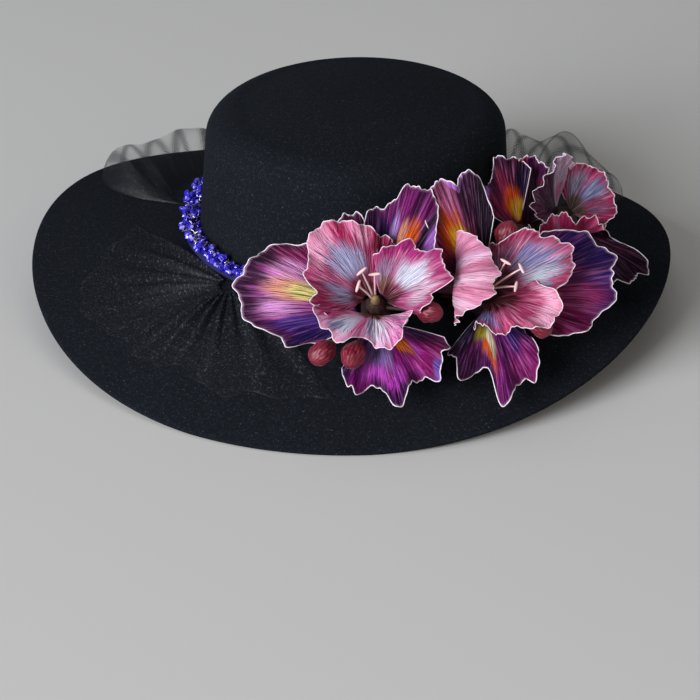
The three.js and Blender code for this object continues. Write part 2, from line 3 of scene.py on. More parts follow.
import bpy
import numpy as np
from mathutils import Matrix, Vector


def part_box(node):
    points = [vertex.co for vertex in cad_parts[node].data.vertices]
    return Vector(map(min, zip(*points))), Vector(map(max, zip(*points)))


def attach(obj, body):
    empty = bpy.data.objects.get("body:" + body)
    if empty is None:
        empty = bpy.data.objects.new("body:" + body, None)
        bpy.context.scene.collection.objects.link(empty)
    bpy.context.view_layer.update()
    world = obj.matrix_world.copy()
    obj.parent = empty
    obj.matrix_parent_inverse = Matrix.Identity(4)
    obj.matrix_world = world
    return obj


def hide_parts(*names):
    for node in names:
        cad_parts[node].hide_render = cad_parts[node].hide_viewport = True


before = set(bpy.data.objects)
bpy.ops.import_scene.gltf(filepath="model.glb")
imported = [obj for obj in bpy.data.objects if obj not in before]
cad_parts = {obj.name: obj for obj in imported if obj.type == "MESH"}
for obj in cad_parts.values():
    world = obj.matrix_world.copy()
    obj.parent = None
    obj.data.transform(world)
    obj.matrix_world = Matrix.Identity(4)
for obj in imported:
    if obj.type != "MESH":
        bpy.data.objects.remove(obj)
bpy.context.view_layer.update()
print("frame loaded")

random = np.random.default_rng(7)
turn = 2 * math.pi


def vec(x, y, z):
    return np.stack(np.broadcast_arrays(x, y, z), axis=-1).astype(float)


def unit(v):
    return v / np.linalg.norm(v, axis=-1, keepdims=True)


def mix(a, b, share):
    return a + (b - a) * share


def hump(share):
    return np.maximum(np.sin(math.pi * np.clip(share, 0, 1)), 0)


def softened(row, rounds):
    for _ in range(rounds):
        row[1:-1] = (row[:-2] + 2 * row[1:-1] + row[2:]) / 4
    return row


# Felt body, as in the solids
felt = {
    "thickness": 2.5, "headWidth": 172, "headLength": 194, "crownHeight": 73.2, "crownDome": 6,
    "crownLean": 0.079, "shoulderDrop": 15.2, "shoulderWidth": 19.2, "crownFlat": 14,
    "breakRadius": 4, "restFlat": 1, "sides": 216,
}
brim = {
    "width": 92.4, "frontExtra": 10, "curl": 1.3,
    "mean": 20.1, "saddle": 14.9, "front": 9.7, "ends": 2.7,
}
halfWidth = felt["headWidth"] / 2 + felt["thickness"]
halfLength = felt["headLength"] / 2 + felt["thickness"]
sideHeight = felt["crownHeight"] - felt["shoulderDrop"]
topInset = felt["crownLean"] * sideHeight + felt["shoulderWidth"]


def ellipse(angle, out, height):
    return vec((halfWidth + out) * np.cos(angle), (halfLength + out) * np.sin(angle), height)


def edgeFall(angle):
    fore = brim["front"] * np.sin(angle)
    return brim["mean"] - brim["saddle"] * np.cos(2 * angle) - fore - brim["ends"] * np.cos(4 * angle)


def brimReach(angle):
    slant = brim["width"] - brim["frontExtra"] * np.sin(angle)
    return np.sqrt(slant**2 - edgeFall(angle) ** 2)


def brimHeight(angle, out):
    return -edgeFall(angle) * np.maximum(out / brimReach(angle), 0) ** brim["curl"]


def brimPoint(angle, out, lift=0):
    return ellipse(angle, out, brimHeight(angle, out) + lift)


def topPoint(angle, share):
    flat = felt["crownFlat"] / (halfWidth - topInset)
    radius = mix(flat, 1, share)
    height = felt["crownHeight"] + felt["crownDome"] * (1 - np.maximum(radius, flat) ** 2)
    return ellipse(angle, -topInset, height) * np.array([radius, radius, 1])


def shoulderPoint(angle, share):
    bend = math.pi / 2 * (1 - share)
    out = -felt["crownLean"] * sideHeight - felt["shoulderWidth"] * (1 - math.cos(bend))
    return ellipse(angle, out, sideHeight + felt["shoulderDrop"] * math.sin(bend))


def sidePoint(angle, share):
    height = mix(sideHeight, felt["breakRadius"], share)
    return ellipse(angle, -felt["crownLean"] * height, height)


def breakPoint(angle, share):
    bend = math.pi / 2 * share
    start = -felt["crownLean"] * felt["breakRadius"]
    out = mix(start, felt["breakRadius"], 1 - math.cos(bend))
    return brimPoint(angle, out, felt["breakRadius"] * (1 - math.sin(bend)))


def flarePoint(angle, share):
    return brimPoint(angle, mix(felt["breakRadius"], brimReach(angle), share))


def feltPoint(place, angle, offset=0):
    zone = int(min(max(math.floor(place), 0), 4))
    at = (topPoint, shoulderPoint, sidePoint, breakPoint, flarePoint)[zone]
    share, step = place - zone, 1e-3
    along = at(angle, share + step) - at(angle, share - step)
    across = at(angle + step, share) - at(angle - step, share)
    return at(angle, share) + offset * unit(np.cross(along, across))


# The hat leans back a little at rest, and stands on the front and the back of its edge
ahead, behind = -math.pi / 2, math.pi / 2
reachAcross = 2 * halfLength + brimReach(ahead) + brimReach(behind)
leanBack = math.atan2(edgeFall(ahead) - edgeFall(behind), reachAcross)
leanCos, leanSin = math.cos(leanBack), math.sin(leanBack)


def leaned(points):
    x, y, z = np.moveaxis(points, -1, 0)
    return vec(x, y * leanCos + z * leanSin, z * leanCos - y * leanSin)


frontEdge = leaned(np.array([feltPoint(5, ahead), feltPoint(5, ahead, -felt["thickness"])]))
floorHeight = frontEdge[1, 2] + felt["restFlat"]
feltLow, feltHigh = (np.array(corner) * 1000 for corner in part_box("felt_body"))
rowShift = np.array([(feltLow[0] + feltHigh[0]) / 2, feltLow[1] - frontEdge[:, 1].min(), -floorHeight])


def toRow(points):
    return (leaned(np.asarray(points, float)) + rowShift) / 1000


def settled(points):
    below = np.maximum(floorHeight - leaned(points)[..., 2], 0)
    return points + vec(0, 0, below / leanCos)


# Camera, floor and light
camera = {"azimuth": 11.7, "elevation": 26.93, "distance": 1300, "lens": 116.1, "aim": (0.124, -3.172)}


def placeCamera():
    azimuth, elevation = math.radians(camera["azimuth"]), math.radians(camera["elevation"])
    back = Vector((
        math.sin(azimuth) * math.cos(elevation),
        -math.cos(azimuth) * math.cos(elevation),
        math.sin(elevation),
    ))
    data = bpy.data.cameras.new("camera")
    data.lens = camera["lens"]
    data.sensor_width = 36
    data.clip_end = 50
    seen = bpy.data.objects.new("camera", data)
    bpy.context.scene.collection.objects.link(seen)
    right = Vector((math.cos(azimuth), math.sin(azimuth), 0))
    up = back.cross(right)
    side, lift = (math.tan(math.radians(angle)) for angle in camera["aim"])
    look = (-back - right * side + up * lift).normalized()
    seen.location = Vector(toRow(np.zeros(3))) + back * camera["distance"] / 1000
    seen.rotation_mode = "QUATERNION"
    seen.rotation_quaternion = look.to_track_quat("-Z", "Y")
    bpy.context.scene.camera = seen


def hexColour(code):
    channels = [int(code[i : i + 2], 16) / 255 for i in (0, 2, 4)]
    return (*[c / 12.92 if c <= 0.04045 else ((c + 0.055) / 1.055) ** 2.4 for c in channels], 1)


# Sets the inputs of a node to links, numbers, or colours given as hex codes
def feed(tree, node, inputs):
    for key, value in inputs.items():
        if isinstance(value, bpy.types.NodeSocket):
            tree.links.new(value, node.inputs[key])
        else:
            node.inputs[key].default_value = hexColour(value) if isinstance(value, str) else value


# Adds a node and gives one of its outputs. A Mix node of colours takes its share in input 0 and the
# two colours in 6 and 7, and its result is output 2.
def addNode(tree, kind, inputs, output=0, **settings):
    node = tree.nodes.new("ShaderNode" + kind)
    for name, value in settings.items():
        setattr(node, name, value)
    feed(tree, node, inputs)
    return node.outputs[output]


def newMaterial(name):
    material = bpy.data.materials.new(name)
    material.use_nodes = True
    return material, material.node_tree, material.node_tree.nodes["Principled BSDF"]


placeCamera()

# The floor lies 0.2 mm under the hat, clear of the strip that it rests on
studio = {"floor": "d6d5d1", "sky": "e2e6ec", "skyStrength": 0.14, "size": 6, "drop": 0.0002}
lamps = [
    {"name": "window", "at": (-2.1, -3.4, 1.6), "size": 2.4, "power": 245, "colour": "f6f8ff"},
    {"name": "room", "at": (1.7, -1.6, 1.2), "size": 1.6, "power": 8, "colour": "fff4e8"},
    {"name": "ceiling", "at": (-0.3, 0.5, 2.4), "size": 2.2, "power": 8, "colour": "fdfdff"},
]


def makeStudio():
    half = studio["size"]
    mesh = bpy.data.meshes.new("floor")
    corners = [(-half, -half, 0), (half, -half, 0), (half, half, 0), (-half, half, 0)]
    mesh.from_pydata(corners, [], [(0, 1, 2, 3)])
    floor = bpy.data.objects.new("floor", mesh)
    floor.location.z = -studio["drop"]
    bpy.context.scene.collection.objects.link(floor)
    material, tree, shader = newMaterial("matt painted board")
    feed(tree, shader, {"Base Color": studio["floor"], "Roughness": 0.9})
    mesh.materials.append(material)
    world = bpy.data.worlds.new("studio")
    world.use_nodes = True
    sky = {"Color": studio["sky"], "Strength": studio["skyStrength"]}
    feed(world.node_tree, world.node_tree.nodes["Background"], sky)
    bpy.context.scene.world = world
    for lamp in lamps:
        data = bpy.data.lights.new(lamp["name"], "AREA")
        data.size = lamp["size"]
        data.energy = lamp["power"]
        data.color = hexColour(lamp["colour"])[:3]
        light = bpy.data.objects.new(lamp["name"], data)
        light.location = lamp["at"]
        light.rotation_mode = "QUATERNION"
        light.rotation_quaternion = Vector(lamp["at"]).to_track_quat("Z", "Y")
        bpy.context.scene.collection.objects.link(light)
    # Plain display colours, so that the dyes keep their strength
    bpy.context.scene.view_settings.view_transform = "Standard"


makeStudio()
print("camera, floor and light")


# Meshes from grids of points
def gridFaces(rows, columns, closed=False, first=0):
    row, column = np.meshgrid(np.arange(rows - 1), np.arange(columns - (not closed)), indexing="ij")
    a = first + row * columns + column
    b = first + row * columns + (column + 1) % columns
    return np.stack([a, b, b + columns, a + columns], axis=-1).reshape(-1, 4)


class Piece:
    # Points and faces of one object, gathered part by part
    def __init__(self):
        self.points, self.faces, self.slots, self.count = [], [], [], 0
        self.values = {}

    def add(self, points, faces, slot=0, **values):
        points = np.asarray(points, float).reshape(-1, 3)
        for face in faces:
            self.faces.append([int(i) + self.count for i in face])
            self.slots.append(slot)
        for name, value in values.items():
            kept = self.values.setdefault(name, [])
            kept.append((self.count, np.broadcast_to(np.asarray(value, float), len(points))))
        self.points.append(points)
        self.count += len(points)

    def make(self, name, materials, nodes, smoothed=True):
        mesh = bpy.data.meshes.new(name)
        mesh.from_pydata(toRow(np.concatenate(self.points)).tolist(), [], self.faces)
        mesh.polygons.foreach_set("material_index", self.slots)
        mesh.polygons.foreach_set("use_smooth", [smoothed] * len(self.faces))
        for key, parts in self.values.items():
            whole = np.zeros(self.count, np.float32)
            for start, value in parts:
                whole[start : start + len(value)] = value
            mesh.attributes.new(key, "FLOAT", "POINT").data.foreach_set("value", whole)
        for material in materials:
            mesh.materials.append(material)
        mesh.validate()
        made = bpy.data.objects.new(name, mesh)
        bpy.context.scene.collection.objects.link(made)
        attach(made, "root")
        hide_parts(*nodes)
        return made


def addLoft(piece, rings, slot=0, **values):
    # Rings of points, closed round and closed at both ends
    rings = np.asarray(rings, float)
    rows, columns = rings.shape[:2]
    faces = gridFaces(rows, columns, closed=True).tolist()
    faces += [list(range(columns))[::-1], [(rows - 1) * columns + i for i in range(columns)]]
    piece.add(rings, faces, slot, **values)


def addTube(piece, path, radius, sides=6, slot=0, **values):
    path = np.asarray(path, float)
    along = unit(np.gradient(path, axis=0))
    hint = np.array([0.3, 0.2, 1.0])
    side = unit(np.cross(along, hint))
    other = np.cross(along, side)
    around = np.arange(sides) / sides * turn
    radii = np.broadcast_to(radius, len(path))[:, None, None]
    circle = side[:, None] * np.cos(around)[:, None] + other[:, None] * np.sin(around)[:, None]
    addLoft(piece, path[:, None] + radii * circle, slot, **values)


def addSheet(piece, at, u, v, thickness, slot=0, **values):
    # A thin closed sheet about the surface at(u, v)
    step = 1e-3
    uu, vv = np.meshgrid(u, v, indexing="ij")
    along = at(uu + step, vv) - at(uu - step, vv)
    across = at(uu, vv + step) - at(uu, vv - step)
    normal = unit(np.cross(along, across))
    middle = at(uu, vv)
    half = np.asarray(thickness, float) / 2
    half = half[..., None] if half.ndim else half
    rows, columns = uu.shape
    size = rows * columns
    upper, lower = middle + normal * half, middle - normal * half
    top = gridFaces(rows, columns)
    faces = np.concatenate([top, top[:, ::-1] + size]).tolist()
    rim = [*range(columns), *range(2 * columns - 1, size, columns)]
    rim += [*range(size - 2, size - columns - 1, -1), *range(size - 2 * columns, 0, -columns)]
    for i, here in enumerate(rim):
        after = rim[(i + 1) % len(rim)]
        faces.append([after, here, here + size, after + size])
    doubled = {key: np.tile(np.broadcast_to(value, uu.shape).ravel(), 2) for key, value in values.items()}
    piece.add(np.concatenate([upper.reshape(-1, 3), lower.reshape(-1, 3)]), faces, slot, **doubled)


# A material of two tones, mottled by a noise. Its bumps, if any, have a distance and a strength, and
# follow that noise, or a grain of their own with its scale and detail.
def mottled(name, tones, scale, detail=2.0, bumps=None, grain=None, **look):
    material, tree, shader = newMaterial(name)
    place = addNode(tree, "TexCoord", {}, "Object")
    height = addNode(tree, "TexNoise", {"Vector": place, "Scale": scale, "Detail": detail})
    tone = addNode(tree, "Mix", {0: height, 6: tones[0], 7: tones[1]}, 2, data_type="RGBA")
    feed(tree, shader, {"Base Color": tone, **look})
    if grain:
        height = addNode(tree, "TexNoise", {"Vector": place, "Scale": grain[0], "Detail": grain[1]})
    if bumps:
        relief = addNode(tree, "Bump", {"Height": height, "Distance": bumps[0], "Strength": bumps[1]})
        feed(tree, shader, {"Normal": relief})
    return material


# Wool felt, blocked and left matt: light fibres lie on a dense black body
def woolFelt():
    material, tree, shader = newMaterial("blocked wool felt")
    place = addNode(tree, "TexCoord", {}, "Object")
    cloudy = addNode(tree, "TexNoise", {"Vector": place, "Scale": 16.0, "Detail": 3.0})
    # Felt's fibre tufts, drawn 1.6 mm wide so that they show
    tufts = {"Vector": place, "Scale": 620.0, "Detail": 3.0, "Roughness": 0.65}
    fibres = addNode(tree, "TexNoise", tufts)
    flecks = addNode(tree, "TexNoise", {"Vector": place, "Scale": 1100.0, "Detail": 1.0})
    tone = addNode(tree, "Mix", {0: cloudy, 6: "121418", 7: "171a1f"}, 2, data_type="RGBA")
    raised = addNode(tree, "MapRange", {0: fibres, 1: 0.5, 2: 0.75, 3: 0.0, 4: 0.5})
    tone = addNode(tree, "Mix", {0: raised, 6: tone, 7: "2a2f38"}, 2, data_type="RGBA")
    light = addNode(tree, "MapRange", {0: flecks, 1: 0.66, 2: 0.8, 3: 0.0, 4: 0.55})
    tone = addNode(tree, "Mix", {0: light, 6: tone, 7: "545c68"}, 2, data_type="RGBA")
    relief = addNode(tree, "Bump", {"Height": fibres, "Distance": 0.0005, "Strength": 0.5})
    feed(tree, shader, {
        "Base Color": tone, "Roughness": 0.95, "Specular IOR Level": 0.06,
        "Sheen Weight": 0.012, "Sheen Roughness": 0.5, "Sheen Tint": "a8b4cc", "Normal": relief,
    })
    return material


def makeFelt():
    angles = np.arange(felt["sides"]) / felt["sides"] * turn
    flat = felt["crownFlat"] / (halfWidth - topInset)
    inner = [-flat / (1 - flat) * share for share in (0.94, 0.5)]
    zones = ((0, 12), (1, 14), (2, 16), (3, 6), (4, 40))
    places = inner + [zone + i / count for zone, count in zones for i in range(count)]
    # The cut edge is rounded by 0.4 mm, which is 0.005 of the brim's reach
    cut, ease = 0.005, 0.4
    rings = [feltPoint(place, angles) for place in places]
    rings += [feltPoint(5 - cut, angles), feltPoint(5, angles, -ease)]
    rings += [feltPoint(5, angles, ease - felt["thickness"]), feltPoint(5 - cut, angles, -felt["thickness"])]
    rings += [feltPoint(place, angles, -felt["thickness"]) for place in places[::-1]]
    piece = Piece()
    addLoft(piece, settled(np.array(rings)))
    piece.make("felt_hat", [woolFelt()], ["felt_body"])


makeFelt()
print("felt")


# Bead vine: cut crystals round a wired core, on twisted wire. Some crystals are bright, and more of
# their facets carry a painted glint.
vine = {"from": -112, "to": -334, "out": 6.5, "lift": 5, "core": 2.2, "steps": 90}
crystal = {
    "count": 900, "small": 1.4, "large": 2.1, "near": 2.2, "far": 7.6, "lean": 0.6, "sway": 2,
    "around": (-35, 135), "facets": 8, "brightShare": 0.3, "glints": 0.07, "brightGlints": 0.22,
}
# Each ring of a crystal's corners is so wide and so high, and may be turned by half a facet
crystalRings = ((0.5, 0.78, 0), (1, 0.12, 1), (1, -0.12, 1), (0.3, -0.85, 0))
wire = {"sprigs": 80, "radius": 0.24, "reach": 8, "around": (10, 115), "twist": 0.35, "winding": 9}


def vineFrame(share):
    def centre(at):
        return brimPoint(np.radians(mix(vine["from"], vine["to"], at)), vine["out"], vine["lift"])

    along = unit(centre(share + 1e-3) - centre(share - 1e-3))
    out = -unit(np.cross(np.array([0, 0, 1.0]), along))
    return centre(share), along, out, -np.cross(along, out)


# Sapphire glass, cut and polished: deep blue, with pale painted glints where a facet throws back the room
def cutGlass():
    material, tree, shader = newMaterial("cut sapphire glass")
    shade, glint = (
        addNode(tree, "Attribute", {}, "Fac", attribute_name=name) for name in ("shade", "glint")
    )
    deep = addNode(tree, "Mix", {0: shade, 6: "180c90", 7: "3c2ce4"}, 2, data_type="RGBA")
    # The glint attribute mixes in pale lavender: a painted reflection on chosen facets
    lit = addNode(tree, "Mix", {0: glint, 6: deep, 7: "c4bcff"}, 2, data_type="RGBA")
    feed(tree, shader, {
        "Base Color": lit, "Roughness": 0.1, "IOR": 1.62, "Coat Weight": 0.6, "Coat Roughness": 0.03,
    })
    return material


# Brass craft wire, twisted and left bright: pale gold with a soft gleam
def craftWire():
    tones = ("d9c98c", "f3ecc6")
    return mottled("twisted brass wire", tones, 700.0, Roughness=0.32, Metallic=0.75)


# Cotton cord, dyed navy, that the wires of the vine are bound to: matt, and dark between the beads
def boundCord():
    return mottled("dyed cotton cord", ("0c0c2a", "1e1e58"), 400.0, Roughness=0.8)


def addCrystal(piece, centre, axis, radius):
    facets = crystal["facets"]
    side = unit(np.cross(axis, random.normal(size=3)))
    other = np.cross(axis, side)
    around = np.arange(facets) / facets * turn + random.uniform(0, 1)
    shade = random.uniform()
    bright = random.uniform() < crystal["brightShare"]
    levels = []
    for wide, high, shift in crystalRings:
        angle = around + shift * turn / (2 * facets)
        circle = np.cos(angle)[:, None] * side + np.sin(angle)[:, None] * other
        levels.append(centre + radius * (wide * circle + high * axis))
    # Each facet has its own points, so that each may carry its own painted glint
    quads = [
        np.array([low[i], low[(i + 1) % facets], high[(i + 1) % facets], high[i]])
        for high, low in zip(levels, levels[1:])
        for i in range(facets)
    ]
    often = crystal["brightGlints" if bright else "glints"]
    for quad in quads:
        glint = random.uniform(0.3, 1) if random.uniform() < often else 0
        piece.add(quad, [(0, 1, 2, 3)], 0, shade=shade, glint=glint)
    # A bright crystal's top facet gets a strong painted glint, every other top facet a faint one
    glint = random.uniform(0.2, 0.9) if bright else 0.05
    piece.add(levels[0], [tuple(range(facets))], 0, shade=shade, glint=glint)
    piece.add(levels[3], [tuple(range(facets))[::-1]], 0, shade=shade, glint=0)


def makeVine():
    piece = Piece()
    shares = np.linspace(0, 1, vine["steps"])
    path = np.array([vineFrame(share)[0] for share in shares])
    addTube(piece, path, vine["core"], 8, 2)
    for i in range(crystal["count"]):
        share = (i + random.uniform(0.1, 0.9)) / crystal["count"]
        centre, along, out, up = vineFrame(share)
        around = math.radians(random.uniform(*crystal["around"]))
        axis = unit(out * math.cos(around) + up * math.sin(around))
        away = random.uniform(crystal["near"], crystal["far"])
        sway = along * random.uniform(-crystal["sway"], crystal["sway"])
        facing = unit(axis + crystal["lean"] * random.normal(size=3))
        radius = random.uniform(crystal["small"], crystal["large"])
        addCrystal(piece, centre + axis * away + sway, facing, radius)
    for i in range(wire["sprigs"]):
        share = (i + random.uniform(0.2, 0.8)) / wire["sprigs"]
        centre, along, out, up = vineFrame(share)
        around = math.radians(random.uniform(*wire["around"]))
        axis = unit(out * math.cos(around) + up * math.sin(around))
        side = unit(np.cross(axis, along) + random.uniform(-1, 1) * along)
        fork = centre + axis * wire["reach"] * random.uniform(0.6, 0.8)
        twisted = []
        for t in np.linspace(0, 1, 7):
            wound = side * math.cos(wire["winding"] * t) + along * math.sin(wire["winding"] * t)
            twisted.append(mix(centre, fork, t) + wire["twist"] * wound)
        addTube(piece, twisted, wire["radius"] * 1.5, 5, 1)
        for way in (-1, 1):
            length = wire["reach"] * random.uniform(0.25, 0.4)
            tip = fork + length * unit(axis * 0.5 + way * side + along * random.uniform(-0.6, 0.6))
            middle = mix(fork, tip, 0.5) + 0.5 * axis
            addTube(piece, [fork, middle, tip], wire["radius"], 5, 1)
    materials = [cutGlass(), craftWire(), boundCord()]
    piece.make("crystal_vine", materials, ["bead_vine"], smoothed=False)


makeVine()
print("bead vine")


# Blossoms: where each stands, which way and how steeply it faces, and how long its stem is
blossoms = {
    "left": {"at": (39, -138, 20), "turn": 10, "rise": 40, "stem": 46},
    "middle": {"at": (94, -114, 22), "turn": 15, "rise": 38, "stem": 46},
    "right": {"at": (122, -28, 32), "turn": 5, "rise": 48, "stem": 52},
    "back": {"at": (100, -46, 27), "turn": -5, "rise": 46, "stem": 44},
}


def blossomFrame(name):
    blossom = blossoms[name]
    away, high = math.radians(blossom["turn"]), math.radians(blossom["rise"])
    axis = np.array([math.sin(away) * math.cos(high), -math.cos(away) * math.cos(high), math.sin(high)])
    up = unit(np.array([0, 0, 1.0]) - axis * axis[2])
    return np.array(blossom["at"], float), axis, up, np.cross(up, axis)


# Two ways across a blossom's axis: out from it at a place on its clock, and along the clock from there
def clockWays(up, right, clock):
    cosine, sine = math.cos(math.radians(clock)), math.sin(math.radians(clock))
    return up * cosine + right * sine, right * cosine - up * sine


# Petals, as in the solids
petalColumns = (
    "name blossom clock lift ring openRoot openTip length spread round "
    "cupLeft cupRight tuck ruffle waves phase"
).split()
petalRows = [
    ("pink_left_1", "left", -40, -4, 5.6, 35, 82, 48, 72, 0.42, 25, 20, 3, 2.5, 2, 0),
    ("pink_left_2", "left", 53, -4, 5.6, 35, 75, 42, 60, 0.45, 22, 22, 3, 3, 3, 1),
    ("pink_left_3", "left", 190, -4, 5.6, 24, 75, 39, 74, 0.42, 42, 31, 3, 3, 3, 6.2),
    ("purple_left_1", "left", -84, -15, 8, 60, 92, 67, 50, 0.75, 20, 20, 0, 3, 3, 0),
    ("purple_left_2", "left", 161, -15, 8, 55, 84, 55, 51, 0.7, 15, 15, 0, 4, 3, 1),
    ("purple_left_3", "left", 18, -14, 8, 50, 70, 66, 28, 0.85, 15, 15, 0, 3, 2, 2),
    ("purple_left_4", "left", -21, -18, 8, 50, 74, 54, 40, 0.8, 15, 15, 0, 3, 2, 0),
    ("pink_middle_1", "middle", -84, -4, 5.6, 80, -100, 50, 50, 0.5, 10, 10, 0, 2, 2, 0),
    ("pink_middle_2", "middle", 60, -4, 5.6, 35, 80, 47, 60, 0.5, 22, 20, 3, 3, 3, 1),
    ("pink_middle_3", "middle", 150, -4, 5.6, 35, 68, 39, 72, 0.4, 20, 5, 3, 3, 3, 2),
    ("purple_middle_1", "middle", -30, -12, 8, 45, 68, 66, 32, 0.8, 25, 20, 0, 3, 2, 0),
    ("purple_middle_2", "middle", 173, -15, 8, 55, 84, 61, 45, 0.75, 15, 15, 0, 4, 3, 1),
    ("purple_middle_3", "middle", 88, -17, 8, 60, 92, 66, 46, 0.7, 15, 10, 0, 3, 2, 2),
    ("pink_right_1", "right", 54, -4, 5.6, 30, 72, 34, 66, 0.42, 20, 25, 3, 2.5, 3, 0),
    ("pink_right_2", "right", -65, -4, 5.6, 24, 2, 37.5, 60, 0.5, 5, 54, 3, 2, 2, 0.9),
    ("pink_right_3", "right", 179, -4, 5.6, 71, -58, 39, 50, 0.45, 24, 25, 3, 3, 3, 0.1),
    ("purple_right", "right", 136, -14, 8, 60, 94, 56, 32, 0.85, 15, 15, 0, 4, 2, 1),
    ("purple_back_1", "back", -34, -8, 7, 48, 66, 46, 34, 0.8, 20, 25, 0, 3, 2, 0),
    ("purple_back_2", "back", -9, -27, 7, 40, 50, 58, 18, 0.8, 15, 15, 0, 3, 2, 2),
]
petals = [dict(zip(petalColumns, row)) for row in petalRows]


def familyOf(name):
    return name.split("_")[0]


# A number of its own for each petal, so that no two have the same waves or the same print
def ownNumber(name):
    return sum(ord(letter) for letter in name)


# How each petal's ragged edge runs from side to side: a place across the petal, then how far the
# edge reaches there as a share of its smooth outline, and so on in turns, all in hundredths
edgeRows = {
    "pink_left_1": [-100, 80, -78, 84, -68, 95, -62, 86, -56, 81, -50, 89, -44, 94, -35, 92, -25, 92,
        -16, 105, -6, 105, 3, 106, 13, 101, 23, 96, 31, 92, 40, 90, 47, 84, 56, 80, 65, 85, 100, 85],
    "pink_left_2": [-100, 65, -90, 70, -81, 73, -70, 72, -62, 78, -57, 82, -54, 79, -47, 83, -42, 89,
        -36, 95, -30, 94, -22, 88, -15, 89, -8, 94, -2, 104, 4, 112, 9, 107, 20, 104, 28, 108, 35, 110,
        40, 100, 48, 80, 62, 82, 76, 74, 90, 70, 100, 66],
    "pink_left_3": [-100, 95, -88, 75, -70, 74, -49, 83, -42, 100, -33, 94, -30, 102, -26, 98, -19, 83,
        -14, 83, -7, 78, 5, 74, 12, 81, 18, 94, 21, 104, 35, 100, 49, 94, 58, 107, 66, 111, 70, 124,
        74, 118, 85, 95, 100, 72],
    "purple_left_1": [-100, 50, -93, 63, -85, 66, -79, 70, -76, 82, -73, 88, -66, 84, -60, 84, -54, 87,
        -49, 90, -44, 94, -38, 97, -33, 101, -27, 103, -20, 100, -13, 102, -5, 105, 0, 108, 6, 105,
        12, 102, 23, 100, 34, 98, 48, 94, 58, 89, 65, 81, 72, 78, 100, 75],
    "purple_left_2": [-100, 93, -91, 96, -82, 99, -73, 93, -67, 89, -59, 94, -53, 93, -48, 95, -42, 103,
        -37, 96, -33, 83, -28, 81, -20, 83, -13, 82, -7, 86, -1, 93, 3, 100, 7, 104, 12, 104, 17, 100,
        21, 90, 28, 80, 36, 78, 43, 80, 49, 86, 54, 95, 58, 99, 63, 93, 67, 100, 72, 97, 79, 94, 88, 88,
        100, 76],
    "purple_left_3": [-100, 62, -84, 77, -80, 83, -70, 82, -51, 80, -41, 82, -31, 86, -20, 92, -14, 101,
        -5, 102, 12, 102, 25, 104, 40, 100, 60, 90, 80, 78, 94, 75, 100, 70],
    "purple_left_4": [-100, 85, -20, 88, -7, 92, 1, 95, 9, 92, 18, 94, 24, 92, 28, 83, 50, 85, 100, 85],
    "pink_middle_1": [-100, 70, -63, 75, -45, 95, -31, 100, -22, 108, -9, 108, 0, 105, 5, 115, 17, 109,
        32, 107, 42, 103, 70, 95, 100, 85],
    "pink_middle_2": [-100, 60, -88, 65, -80, 67, -70, 61, -60, 63, -54, 72, -47, 79, -39, 86, -29, 90,
        -21, 86, -16, 87, -11, 95, -5, 98, 1, 100, 7, 108, 15, 108, 22, 104, 28, 105, 36, 102, 43, 97,
        52, 86, 70, 85, 100, 80],
    "pink_middle_3": [-100, 80, -66, 87, -62, 100, -58, 112, -50, 118, -42, 116, -34, 112, -24, 112,
        -16, 104, -8, 99, -5, 93, 0, 84, 8, 79, 16, 76, 23, 77, 30, 71, 38, 65, 50, 62, 60, 60, 70, 62,
        100, 70],
    "purple_middle_1": [-100, 50, -63, 64, -50, 74, -42, 80, -30, 83, -22, 88, -13, 97, -3, 99, 7, 102,
        14, 103, 22, 98, 31, 94, 36, 100, 48, 102, 54, 106, 62, 104, 74, 98, 85, 85, 100, 70],
    "purple_middle_2": [-100, 50, -79, 60, -73, 68, -68, 75, -60, 77, -54, 82, -47, 84, -42, 90, -36, 92,
        -31, 82, -25, 83, -16, 85, -10, 90, -3, 96, 2, 103, 6, 105, 10, 103, 13, 90, 16, 75, 22, 69,
        34, 68, 42, 71, 47, 78, 52, 86, 57, 91, 63, 92, 67, 84, 73, 77, 82, 77, 93, 80, 100, 70],
    "purple_middle_3": [-100, 82, -84, 87, -77, 93, -65, 99, -47, 98, -34, 101, -25, 107, -20, 102,
        -16, 97, -6, 96, 5, 97, 13, 100, 21, 99, 28, 91, 36, 88, 55, 88, 70, 80, 80, 76, 88, 70, 100, 55],
    "pink_right_1": [-100, 85, -52, 88, -31, 92, -20, 91, -6, 96, 6, 93, 21, 94, 39, 95, 58, 102, 68, 108,
        75, 103, 83, 95, 100, 90],
    "pink_right_2": [-100, 40, -54, 71, -31, 87, -12, 98, 12, 98, 33, 111, 54, 120, 82, 107, 94, 91,
        100, 68],
    "pink_right_3": [-100, 97, -84, 98, -68, 100, -56, 100, -40, 98, -31, 96, -24, 91, -14, 95, -5, 102,
        5, 98, 18, 93, 32, 91, 51, 85, 100, 80],
    "purple_right": [-100, 40, -72, 57, -68, 70, -64, 86, -60, 96, -50, 101, -38, 105, -33, 93, -21, 95,
        0, 99, 6, 94, 12, 88, 21, 89, 50, 90, 100, 80],
    "purple_back_1": [-100, 48, -75, 50, -56, 62, -50, 70, -41, 72, -25, 70, -11, 72, 0, 80, 7, 85,
        13, 96, 25, 97, 41, 92, 60, 95, 100, 90],
    "purple_back_2": [-100, 93, -12, 94, 21, 98, 49, 96, 78, 95, 100, 95],
}
petalMake = {
    "rootHalf": 2.6, "thickness": 0.5, "thinning": 0.4, "cupReach": 0.8, "edgeRounds": 14,
    "rows": 34, "rowEase": 1.35, "columns": 184, "columnEase": 0.75,
    "rimFrom": 0.25, "rimSide": 16, "rimAcross": 230,
    "pink": {
        "rim": 0.2, "scallop": 0.012, "scallops": 21, "frill": 1.6, "frills": 9, "pleat": 0.5, "pleats": 13,
    },
    "purple": {
        "rim": 0.27, "scallop": 0.009, "scallops": 17, "frill": 1.6, "frills": 7, "pleat": 0.5, "pleats": 11,
    },
}


